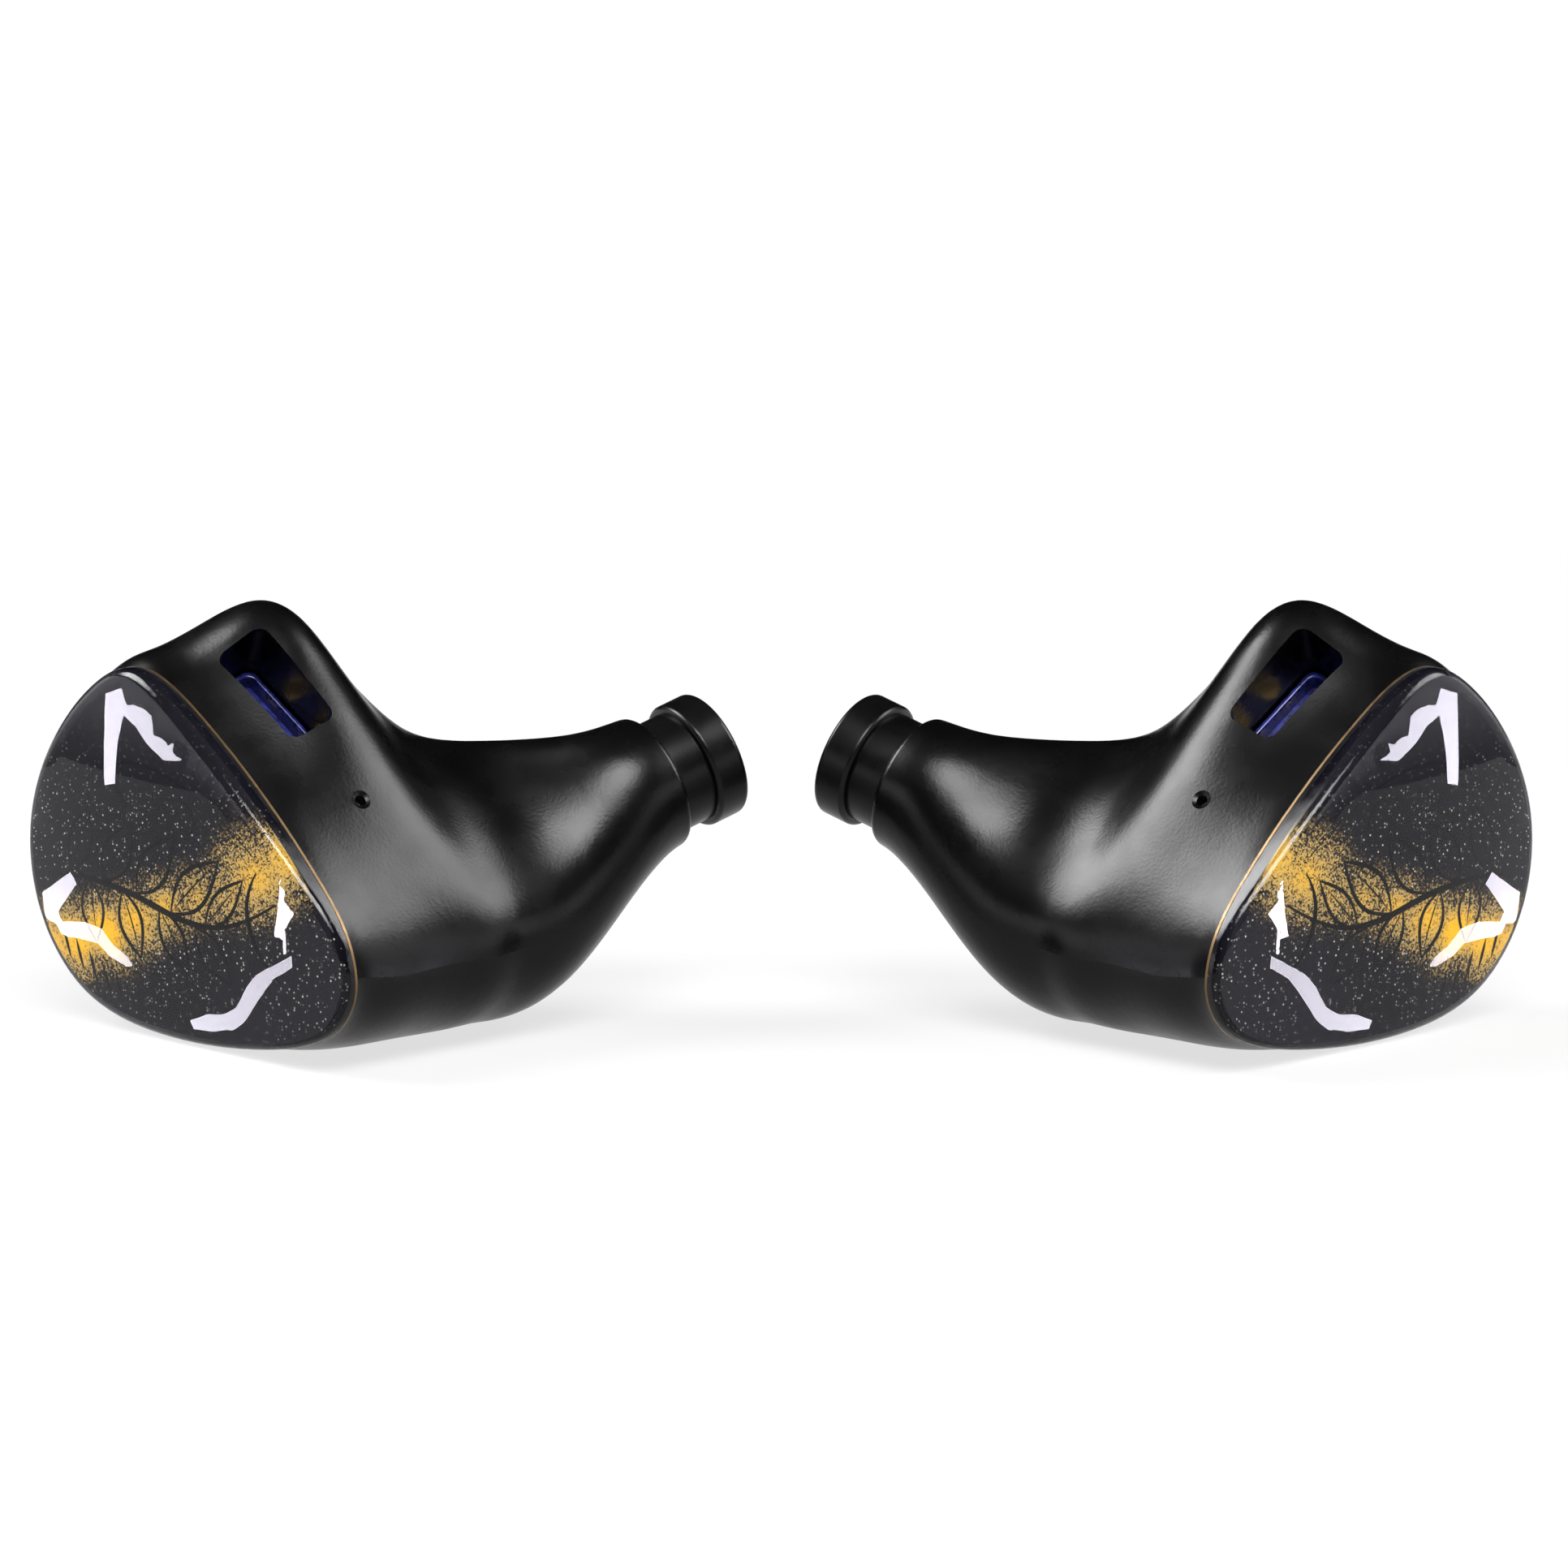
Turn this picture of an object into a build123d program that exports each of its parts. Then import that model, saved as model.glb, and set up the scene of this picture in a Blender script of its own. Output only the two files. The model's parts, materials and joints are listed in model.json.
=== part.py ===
from build123d import *

import os
from math import cos, exp, log, pi, radians, sin

# A mirror pair of wired in-ear monitors, lying on a table with the nozzles towards each other.
# Millimetres. Each piece is modelled once, for the left ear, in the earpiece's own frame:
# X forward, Y up, Z from the faceplate's seam inwards to the ear canal. It is then placed in
# the pair's frame (X across the pair, Z up) and mirrored for the right ear.

# ---------------------------------------------------------------- faceplate outline
# Three corner circles at the seam: the crest at the top, the nose in front, the heel behind.
crest_x = -3.25
crest_y = 6.9
crest_radius = 2.9
nose_x = 7.7
nose_y = -4.15
nose_radius = 4.6
heel_x = -3.5
heel_y = -0.75
heel_radius = 8.5
softness = 1.0
outline_points = 24
fine_points = 360

# ---------------------------------------------------------------- shell
wall = 1.0
cut_clearance = 3.0
collar_x = 10.3
collar_y = 2.2
collar_depth = 20.7
collar_radius = 3.35
collar_length = 1.25
collar_flare = 0.15
collar_rounding = 0.35
nozzle_direction = (0.26, 0.32, 0.91)
bulkhead_depth = 9.0
bulkhead_thickness = 0.8

# ---------------------------------------------------------------- faceplate
seam_thickness = 0.15
seam_proud = 0.02
seam_land = 0.9
panel_inset = 0.35
panel_thickness = 0.5
dome_height = 1.75
dome_crown_radius = 58.0
dome_edge_radius = 0.55
bond_gap = 0.03

# ---------------------------------------------------------------- cable socket
socket_centre = (1.72, 7.64, 3.8)
socket_along = (0.788, -0.607, 0.103)
socket_across = (-0.138, -0.337, -0.931)
recess_length = 5.9
recess_width = 2.7
recess_corner = 0.6
recess_depth = 2.15
block_gap = 0.08
block_height = 1.95
block_rim = 0.3
block_pocket_depth = 0.8
block_rounding = 0.12
socket_wall = 0.5
pin_pitch = 2.3
contact_bore = 0.82
contact_wall = 0.2
contact_length = 3.1
contact_rise = 0.1
contact_flare = 0.06

# ---------------------------------------------------------------- vent
vent_point = (7.14, 3.17, 4.24)
vent_direction = (0.77, 0.6, -0.2)
vent_bore = 0.56
vent_dimple = 0.95
vent_dimple_depth = 0.16
vent_wall = 0.7
vent_screen_diameter = 1.8
vent_screen_thickness = 0.12

# ---------------------------------------------------------------- nozzle
neck_radius = 2.8
neck_length = 1.7
lip_radius = 3.15
lip_length = 1.75
lip_rounding = 0.25
shank_radius = 2.5
shank_length = 2.4
nozzle_bore_radius = 2.0
mesh_radius = 2.45
mesh_recess = 0.45
mesh_thickness = 0.2
mesh_hole = 0.62
mesh_pitch = 0.95
damper_length = 1.2
damper_depth = 0.7

# ---------------------------------------------------------------- driver
driver_x = 2.6
driver_y = -2.3
driver_radius = 4.0
driver_wall = 0.3
driver_height = 3.2
gasket_thickness = 0.3
gasket_width = 0.5
cover_thickness = 0.2
cover_skirt = 0.25
cover_slot_radius = 0.38
cover_slot_circle = 1.9
cover_slots = 6
suspension_depth = 0.8
suspension_thickness = 0.1
ledge_width = 0.3
frame_floor = 0.35
frame_vent_land = 0.2
frame_vents = 8
frame_web = 1.25
yoke_wall = 0.4
yoke_floor = 0.45
yoke_proud = 0.3
magnet_thickness = 1.05
magnet_step = 0.1
top_plate_thickness = 0.45
coil_gap = 0.14
coil_thickness = 0.22
coil_height = 1.35
dome_rise = 0.3
cap_land = 0.4
roll_rise = 0.3
damping_ring_thickness = 0.15
board_length = 2.8
board_width = 1.6
board_thickness = 0.4
lead_diameter = 0.25
lead_bend = 0.75
lead_spacing = 1.5

# ---------------------------------------------------------------- the pair on the table
splay = 47.0
ear_offset = 27.8

# How far each corner circle has moved and grown at stations along the shell, against its place
# at the seam: share of the collar's depth, share of the nozzle's lean, then (dx, dy, dr) of the
# crest, nose and heel.
stations = [
    (0.0, 0.0, (0.0, 0.0, 0.0), (0.0, 0.0, 0.0), (0.0, 0.0, 0.0)),
    (20 / 207, 0.0, (0.75, 0.6, 0.15), (-0.3, -0.25, 0.25), (0.1, 0.7, 0.85)),
    (40 / 207, 0.0, (1.9, 1.95, 0.3), (-0.25, -0.3, 0.3), (0.3, 0.4, 0.65)),
    (60 / 207, 0.0, (2.3, 2.8, 0.1), (-0.25, -0.2, 0.45), (0.8, -0.5, -0.4)),
    (80 / 207, 0.0, (2.5, 1.45, -0.25), (0.1, -0.2, 0.45), (2.1, -1.1, -1.75)),
    (100 / 207, 0.0, (3.1, -1.85, 0.2), (0.0, -0.05, 0.65), (3.3, -1.4, -3.1)),
    (125 / 207, 0.1, (4.95, -4.8, 0.7), (0.15, 0.4, 0.95), (5.0, -0.8, -3.8)),
    (155 / 207, 0.4, (8.15, -5.3, 0.65), (0.75, 2.2, 0.75), (8.95, -0.2, -4.25)),
    (183 / 207, 0.8, (12.25, -5.2, 1.0), (2.1, 4.8, -0.65), (12.8, 1.25, -5.05)),
]
even_steps = [step / outline_points for step in range(outline_points + 1)]
rim_corners = [
    (crest_x, crest_y, crest_radius),
    (nose_x, nose_y, nose_radius),
    (heel_x, heel_y, heel_radius),
]


def outline(corners, inset=0.0):
    """Points at even steps along a soft outline drawn round corner circles."""
    fine = []
    for step in range(fine_points):
        angle = 2 * pi * step / fine_points
        nx, ny = cos(angle), sin(angle)
        reaches = [x * nx + y * ny + r for x, y, r in corners]
        furthest = max(reaches)
        pulls = [exp((reach - furthest) / softness) for reach in reaches]
        total = sum(pulls)
        height = furthest + softness * log(total / len(corners)) - inset
        shift = sum(pull * (y * nx - x * ny) for pull, (x, y, r) in zip(pulls, corners)) / total
        fine.append(Vector(height * nx - shift * ny, height * ny + shift * nx))
    lengths = [(b - a).length for a, b in zip(fine, fine[1:] + fine[:1])]
    stride = sum(lengths) / outline_points
    points, walked = [], 0.0
    for start, end, length in zip(fine, fine[1:] + fine[:1], lengths):
        while len(points) < outline_points and len(points) * stride < walked + length:
            points.append(start + (end - start) * ((len(points) * stride - walked) / length))
        walked += length
    return points


def facing(origin, normal):
    """Plane through a point with a given normal, its X axis kept as far forward as it can be."""
    z_dir = Vector(*normal).normalized()
    x_dir = (Vector(1, 0, 0) - z_dir * z_dir.X).normalized()
    return Plane(origin=origin, x_dir=x_dir, z_dir=z_dir)


def profile_of(plane):
    """Plane for a profile to be revolved: its X is the radius and its Y runs along the axis."""
    return Plane(origin=plane.origin, x_dir=plane.x_dir, z_dir=plane.y_dir * -1)


def axis_of(plane):
    """Axis of a round piece that stands on a plane."""
    return Axis(plane.origin, plane.z_dir)


def section(plane, corners, inset=0.0, centre=(0.0, 0.0)):
    """Closed outline drawn on a plane, as a sketch."""
    with BuildSketch(plane) as drawn:
        with BuildLine():
            points = [point - Vector(*centre) for point in outline(corners, inset)]
            add(Edge.make_spline(points, periodic=True, parameters=even_steps))
        make_face()
    return drawn.sketch


def plate(low, high, inset=0.0, mode=Mode.ADD):
    """Plate of the faceplate's outline between two depths."""
    extrude(section(Plane.XY.offset(low), rim_corners, inset), amount=high - low, mode=mode)


def disc(plane, radius, low, high, hole=0.0, mode=Mode.ADD):
    """Disc or ring about a plane's axis between two heights above it."""
    with BuildSketch(plane.offset(low)) as drawn:
        Circle(radius)
        if hole > 0:
            Circle(hole, mode=Mode.SUBTRACT)
    extrude(drawn.sketch, amount=high - low, mode=mode)


def turned(plane, points):
    """Solid turned from a closed profile of (radius, height) points about a plane's axis."""
    with BuildSketch(profile_of(plane)) as drawn:
        with BuildLine():
            Polyline(*points, close=True)
        make_face()
    revolve(drawn.sketch, axis=axis_of(plane))


def shell_form(inset=0.0):
    """Loft the shell's form through its stations and the round collar."""
    sections = []
    for reach, lean, *moves in stations:
        corners = [tuple(a + b for a, b in zip(c, m)) for c, m in zip(rim_corners, moves)]
        middle_x = sum(c[0] for c in corners) / len(corners)
        middle_y = sum(c[1] for c in corners) / len(corners)
        direction = [n * lean for n in nozzle_axis[:2]] + [1 - lean + nozzle_axis[2] * lean]
        plane = facing((middle_x, middle_y, reach * collar_depth), direction)
        sections.append(section(plane, corners, inset, (middle_x, middle_y)))
    for back, flare in ((collar_length, collar_flare), (0.0, 0.0)):
        circle = [(0, 0, collar_radius + flare)] * len(rim_corners)
        sections.append(section(nozzle_plane.offset(-back), circle, inset))
    loft(sections)


# ---------------------------------------------------------------- planes that the pieces share
nozzle_axis = tuple(Vector(*nozzle_direction).normalized())
nozzle_plane = facing((collar_x, collar_y, collar_depth), nozzle_axis)
socket_plane = Plane(origin=socket_centre, x_dir=socket_along, y_dir=socket_across)
vent_plane = facing(vent_point, vent_direction)
driver_plane = Plane((driver_x, driver_y, bulkhead_depth))

# ---------------------------------------------------------------- sizes that follow
block_length = recess_length - 2 * block_gap
block_width = recess_width - 2 * block_gap
block_top = -recess_depth
block_floor = block_top - block_pocket_depth
well_depth = recess_depth + block_height
contact_radius = contact_bore / 2 + contact_wall
contact_top = block_floor + contact_rise
contact_end = contact_top - contact_length
contact_hole = contact_radius + bond_gap
contact_places = [(-pin_pitch / 2, 0), (pin_pitch / 2, 0)]

dome_base = -seam_thickness
dome_top = dome_base - dome_height
panel_front = dome_base - panel_thickness

cover_top = -gasket_thickness
cover_under = cover_top - cover_thickness
frame_top = cover_under
frame_back = frame_top - driver_height
frame_inner = driver_radius - driver_wall
suspension_top = frame_top - suspension_depth
suspension_under = suspension_top - suspension_thickness
ledge_radius = frame_inner - ledge_width
yoke_radius = driver_radius - frame_web
frame_vent = ledge_radius - yoke_radius - 2 * frame_vent_land
yoke_back = frame_back - yoke_proud
yoke_inner = yoke_radius - yoke_wall
coil_outer = yoke_inner - coil_gap
coil_inner = coil_outer - coil_thickness
top_plate_radius = coil_inner - coil_gap
magnet_radius = top_plate_radius - magnet_step
magnet_back = yoke_back + yoke_floor
magnet_front = magnet_back + magnet_thickness
gap_top = magnet_front + top_plate_thickness
cap_radius = (coil_inner ** 2 + dome_rise ** 2) / (2 * dome_rise)
dimple_radius = (vent_dimple ** 2 / 4 + vent_dimple_depth ** 2) / (2 * vent_dimple_depth)
board_back = yoke_back - board_thickness
lip_front = neck_length + lip_length
mesh_rows = 2 * int(nozzle_bore_radius / mesh_pitch) + 1
form_span = 4 * (heel_radius + nose_radius)

# ---------------------------------------------------------------- shell
with BuildPart() as hollow:
    shell_form(wall)
    # the wall that the driver is bonded to, with the driver's mouth through it
    with BuildSketch(Plane.XY.offset(bulkhead_depth)):
        Rectangle(form_span, form_span)
    extrude(amount=bulkhead_thickness, mode=Mode.SUBTRACT)
    disc(driver_plane, driver_radius - gasket_width, 0, bulkhead_thickness)
    # the well round the cable socket stays solid
    with BuildSketch(socket_plane.offset(-well_depth - socket_wall)):
        RectangleRounded(recess_length + 2 * socket_wall, recess_width + 2 * socket_wall,
                         recess_corner + socket_wall)
    extrude(amount=well_depth + socket_wall + cut_clearance, mode=Mode.SUBTRACT)

with BuildPart() as shell:
    shell_form()
    fillet(shell.faces().sort_by(axis_of(nozzle_plane))[-1].edges(), collar_rounding)
    add(hollow.part, mode=Mode.SUBTRACT)
    # recess for the cable plug and the two holes for the contacts
    with BuildSketch(socket_plane.offset(-well_depth)):
        RectangleRounded(recess_length, recess_width, recess_corner)
    extrude(amount=well_depth + cut_clearance, mode=Mode.SUBTRACT)
    with BuildSketch(socket_plane.offset(-well_depth - 2 * socket_wall)):
        with Locations(*contact_places):
            Circle(contact_hole)
    extrude(amount=2 * socket_wall, mode=Mode.SUBTRACT)
    # vent: dimple, bore and the flat seat of its screen
    with Locations(vent_plane.location * Pos(0, 0, dimple_radius - vent_dimple_depth)):
        Sphere(dimple_radius, mode=Mode.SUBTRACT)
    disc(vent_plane, vent_bore / 2, -cut_clearance, cut_clearance, mode=Mode.SUBTRACT)
    disc(vent_plane, vent_screen_diameter / 2 + bond_gap, -cut_clearance, -vent_wall, mode=Mode.SUBTRACT)
    # seat of the nozzle's shank
    disc(nozzle_plane, shank_radius + bond_gap, -shank_length, cut_clearance, mode=Mode.SUBTRACT)
shell.part.label = "shell"

# ---------------------------------------------------------------- faceplate
with BuildPart() as seam_ring:
    plate(dome_base, 0, -seam_proud)
    plate(dome_base, 0, seam_land, mode=Mode.SUBTRACT)
seam_ring.part.label = "seam_ring"

with BuildPart() as faceplate_panel:
    plate(panel_front, dome_base, panel_inset)
faceplate_panel.part.label = "faceplate_panel"

with BuildPart() as faceplate_dome:
    plate(dome_top, dome_base)
    with Locations((0, 0, dome_top + dome_crown_radius)):
        Sphere(dome_crown_radius, mode=Mode.INTERSECT)
    fillet(faceplate_dome.faces().filter_by(GeomType.SPHERE).edges(), dome_edge_radius)
    plate(panel_front - bond_gap, dome_base, panel_inset - bond_gap, mode=Mode.SUBTRACT)
faceplate_dome.part.label = "faceplate_dome"

# ---------------------------------------------------------------- cable socket
with BuildPart() as socket_block:
    with BuildSketch(socket_plane.offset(-well_depth)):
        RectangleRounded(block_length, block_width, recess_corner - block_gap)
    extrude(amount=block_height)
    with BuildSketch(socket_plane.offset(block_top)):
        RectangleRounded(block_length - 2 * block_rim, block_width - 2 * block_rim,
                         recess_corner - block_gap - block_rim / 2)
    extrude(amount=-block_pocket_depth, mode=Mode.SUBTRACT)
    fillet(socket_block.faces().sort_by(Axis(socket_plane.origin, socket_plane.z_dir))[-1].edges(),
           block_rounding)
    with BuildSketch(socket_plane.offset(block_floor)):
        with Locations(*contact_places):
            Circle(contact_hole)
    extrude(amount=-2 * block_height, mode=Mode.SUBTRACT)
socket_block.part.label = "socket_block"


def contact(place):
    """Female contact: a sleeve with a slightly flared, proud mouth."""
    plane = Plane(socket_plane.from_local_coords(Vector(*place, 0)), socket_plane.x_dir,
                  socket_plane.z_dir)
    with BuildPart() as sleeve:
        disc(plane, contact_radius, contact_end, contact_top, contact_bore / 2)
        fillet(sleeve.edges().group_by(Axis(plane.origin, plane.z_dir))[-1], contact_flare)
    return sleeve.part


contact_signal = contact(contact_places[0])
contact_ground = contact(contact_places[1])

# ---------------------------------------------------------------- vent screen
with BuildPart() as vent_screen:
    disc(vent_plane, vent_screen_diameter / 2, -vent_wall - vent_screen_thickness, -vent_wall)
vent_screen.part.label = "vent_screen"

# ---------------------------------------------------------------- nozzle
with BuildPart() as nozzle:
    turned(nozzle_plane, [
        (nozzle_bore_radius, -shank_length),
        (shank_radius, -shank_length),
        (shank_radius, 0),
        (neck_radius, 0),
        (neck_radius, neck_length),
        (lip_radius, neck_length),
        (lip_radius, lip_front),
        (mesh_radius, lip_front),
        (mesh_radius, lip_front - mesh_recess),
        (nozzle_bore_radius, lip_front - mesh_recess),
    ])
    lip_edges = nozzle.edges().filter_by(GeomType.CIRCLE)
    fillet(lip_edges.filter_by(lambda edge: edge.radius > neck_radius + bond_gap), lip_rounding)
nozzle.part.label = "nozzle"

with BuildPart() as nozzle_mesh:
    mesh_back = lip_front - mesh_recess
    disc(nozzle_plane, mesh_radius - bond_gap, mesh_back, mesh_back + mesh_thickness)
    with BuildSketch(nozzle_plane.offset(mesh_back)):
        with HexLocations(mesh_pitch / 2, mesh_rows, mesh_rows):
            RegularPolygon(mesh_hole / 2, 6)
        Circle(nozzle_bore_radius + mesh_hole / 4, mode=Mode.INTERSECT)
    extrude(amount=mesh_thickness, mode=Mode.SUBTRACT)
nozzle_mesh.part.label = "nozzle_mesh"

with BuildPart() as nozzle_damper:
    disc(nozzle_plane, nozzle_bore_radius - bond_gap, damper_depth - shank_length,
         damper_depth - shank_length + damper_length)
nozzle_damper.part.label = "nozzle_damper"

# ---------------------------------------------------------------- driver
with BuildPart() as driver_gasket:
    disc(driver_plane, driver_radius, cover_top, 0, driver_radius - gasket_width)
driver_gasket.part.label = "driver_gasket"

with BuildPart() as driver_cover:
    disc(driver_plane, driver_radius, cover_under, cover_top)
    disc(driver_plane, frame_inner - bond_gap, suspension_top, cover_under,
         frame_inner - bond_gap - cover_skirt)
    with BuildSketch(driver_plane.offset(cover_under)):
        Circle(cover_slot_radius)
        with PolarLocations(cover_slot_circle, cover_slots):
            Circle(cover_slot_radius)
    extrude(amount=cover_thickness, mode=Mode.SUBTRACT)
driver_cover.part.label = "driver_cover"

with BuildPart() as driver_frame:
    turned(driver_plane, [
        (yoke_radius + bond_gap, frame_back),
        (driver_radius, frame_back),
        (driver_radius, frame_top),
        (frame_inner, frame_top),
        (frame_inner, suspension_under),
        (ledge_radius, suspension_under),
        (ledge_radius, frame_back + frame_floor),
        (yoke_radius + bond_gap, frame_back + frame_floor),
    ])
    with BuildSketch(driver_plane.offset(frame_back)):
        with PolarLocations((yoke_radius + ledge_radius) / 2, frame_vents):
            Circle(frame_vent / 2)
    extrude(amount=frame_floor, mode=Mode.SUBTRACT)
driver_frame.part.label = "driver_frame"

with BuildPart() as yoke:
    disc(driver_plane, yoke_radius, yoke_back, gap_top)
    disc(driver_plane, yoke_inner, magnet_back, gap_top, mode=Mode.SUBTRACT)
yoke.part.label = "yoke"

with BuildPart() as magnet:
    disc(driver_plane, magnet_radius, magnet_back, magnet_front)
magnet.part.label = "magnet"

with BuildPart() as top_plate:
    disc(driver_plane, top_plate_radius, magnet_front, gap_top)
top_plate.part.label = "top_plate"

with BuildPart() as voice_coil:
    disc(driver_plane, coil_outer, suspension_under - coil_height, suspension_under, coil_inner)
voice_coil.part.label = "voice_coil"

with BuildPart() as diaphragm:
    with Locations(driver_plane.location * Pos(0, 0, suspension_top + dome_rise - cap_radius)):
        Sphere(cap_radius)
        Sphere(cap_radius - suspension_thickness, mode=Mode.SUBTRACT)
    split(bisect_by=driver_plane.offset(suspension_top), keep=Keep.TOP)
    disc(driver_plane, coil_outer, suspension_under, suspension_top, coil_inner - cap_land)
diaphragm.part.label = "diaphragm"

with BuildPart() as surround:
    roll_in = coil_outer + ledge_width
    roll_mid = (roll_in + ledge_radius) / 2
    with BuildSketch(profile_of(driver_plane)):
        with BuildLine():
            Polyline((roll_in, suspension_under), (coil_outer, suspension_under),
                     (coil_outer, suspension_top), (roll_in, suspension_top))
            ThreePointArc((roll_in, suspension_top), (roll_mid, suspension_top + roll_rise),
                          (ledge_radius, suspension_top))
            Polyline((ledge_radius, suspension_top), (frame_inner, suspension_top),
                     (frame_inner, suspension_under), (ledge_radius, suspension_under))
            ThreePointArc((ledge_radius, suspension_under), (roll_mid, suspension_under + roll_rise),
                          (roll_in, suspension_under))
        make_face()
    revolve(axis=axis_of(driver_plane))
surround.part.label = "surround"

with BuildPart() as damping_ring:
    disc(driver_plane, driver_radius, frame_back - damping_ring_thickness, frame_back,
         yoke_radius + bond_gap)
damping_ring.part.label = "damping_ring"

with BuildPart() as terminal_board:
    with BuildSketch(driver_plane.offset(board_back)):
        RectangleRounded(board_length, board_width, board_width / 4)
    extrude(amount=board_thickness)
terminal_board.part.label = "terminal_board"


def lead(place, side):
    """Insulated lead from a contact's inner end, round the driver's back, to a solder pad."""
    start = socket_plane.from_local_coords(Vector(*place, contact_end))
    leave = socket_plane.from_local_coords(Vector(*place, contact_end - 2 * lead_bend))
    pad_x = driver_x + side * lead_spacing / 2
    pad_z = bulkhead_depth + board_back
    path_points = [
        start,
        leave,
        (leave.X, leave.Y, pad_z - 2 * lead_bend),
        (pad_x, driver_y, pad_z - 2 * lead_bend),
        (pad_x, driver_y, pad_z),
    ]
    with BuildPart() as wire:
        with BuildLine() as route:
            FilletPolyline(*path_points, radius=lead_bend)
        with BuildSketch(Plane(origin=start, z_dir=socket_plane.z_dir * -1)):
            Circle(lead_diameter / 2)
        sweep(path=route.line)
    return wire.part


lead_signal = lead(contact_places[0], -1)
lead_ground = lead(contact_places[1], 1)

# ---------------------------------------------------------------- the pair
pieces = {
    "shell": shell.part,
    "seam_ring": seam_ring.part,
    "faceplate_panel": faceplate_panel.part,
    "faceplate_dome": faceplate_dome.part,
    "socket_block": socket_block.part,
    "contact_signal": contact_signal,
    "contact_ground": contact_ground,
    "vent_screen": vent_screen.part,
    "nozzle": nozzle.part,
    "nozzle_mesh": nozzle_mesh.part,
    "nozzle_damper": nozzle_damper.part,
    "driver_gasket": driver_gasket.part,
    "driver_cover": driver_cover.part,
    "driver_frame": driver_frame.part,
    "yoke": yoke.part,
    "magnet": magnet.part,
    "top_plate": top_plate.part,
    "voice_coil": voice_coil.part,
    "diaphragm": diaphragm.part,
    "surround": surround.part,
    "damping_ring": damping_ring.part,
    "terminal_board": terminal_board.part,
    "lead_signal": lead_signal,
    "lead_ground": lead_ground,
}

# The pair stands on the table (Z = 0), with the middle of its box on the Z axis.
turn = radians(splay)
ear_plane = Plane((ear_offset, 0, 0), x_dir=(-sin(turn), -cos(turn), 0), z_dir=(-cos(turn), sin(turn), 0))
standing = Compound(children=[ear_plane.location * piece for piece in pieces.values()])
box = standing.bounding_box()
rest = Pos(0, -(box.min.Y + box.max.Y) / 2, -box.min.Z)

os.makedirs("parts", exist_ok=True)
for name, piece in pieces.items():
    left = rest * ear_plane.location * piece
    right = mirror(left, about=Plane.YZ)
    for side, placed in (("left", left), ("right", right)):
        placed.label = f"{side}_{name}"
        export_step(placed, f"parts/{placed.label}.step")
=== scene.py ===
"""Looks for a mirror pair of in-ear monitors: satin shells, misted faceplates under clear domes."""
import json
import logging
import math
from dataclasses import dataclass, replace
from enum import Enum
from typing import Any, Optional

import bpy
from bpy.types import Material, MeshPolygon, Node, NodeSocket, NodeTree, Object
from mathutils import Matrix, Vector


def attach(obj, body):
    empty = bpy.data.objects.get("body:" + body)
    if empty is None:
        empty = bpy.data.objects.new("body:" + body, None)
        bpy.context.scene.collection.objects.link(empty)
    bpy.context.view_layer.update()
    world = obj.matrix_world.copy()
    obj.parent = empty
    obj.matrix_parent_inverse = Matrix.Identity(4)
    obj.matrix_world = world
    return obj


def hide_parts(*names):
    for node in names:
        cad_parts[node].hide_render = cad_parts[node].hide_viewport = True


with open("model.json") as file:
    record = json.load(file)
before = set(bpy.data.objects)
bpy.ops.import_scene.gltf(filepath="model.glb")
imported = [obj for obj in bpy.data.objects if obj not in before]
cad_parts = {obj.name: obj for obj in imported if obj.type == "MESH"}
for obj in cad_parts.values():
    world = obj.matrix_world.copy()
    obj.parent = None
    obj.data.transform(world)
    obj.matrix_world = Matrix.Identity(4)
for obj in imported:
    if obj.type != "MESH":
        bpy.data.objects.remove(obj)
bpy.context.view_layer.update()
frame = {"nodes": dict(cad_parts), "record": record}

logging.basicConfig(level=logging.INFO, format="%(name)s: %(message)s")
log = logging.getLogger("in_ear_monitors")

Pair = tuple[float, float]
Point = tuple[float, float, float]
Colour = tuple[float, float, float]
Four = tuple[float, float, float, float]

MM = 0.001
# Points closer than this, in metres, are merged.
MERGE = 1e-7
# Most values of a smooth noise lie in this span.
NOISE_SPAN = (0.3, 0.7)
# The mean of a noise, and of a random tone.
NOISE_MEAN = 0.5
WHITE: Colour = (1.0, 1.0, 1.0)


# ---- where things are
class Side(Enum):
    """The ear an earpiece is for, with the sign that X has on that side."""

    LEFT = 1
    RIGHT = -1

    @property
    def word(self) -> str:
        """The side as it stands in the nodes' names."""
        return self.name.lower()


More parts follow.
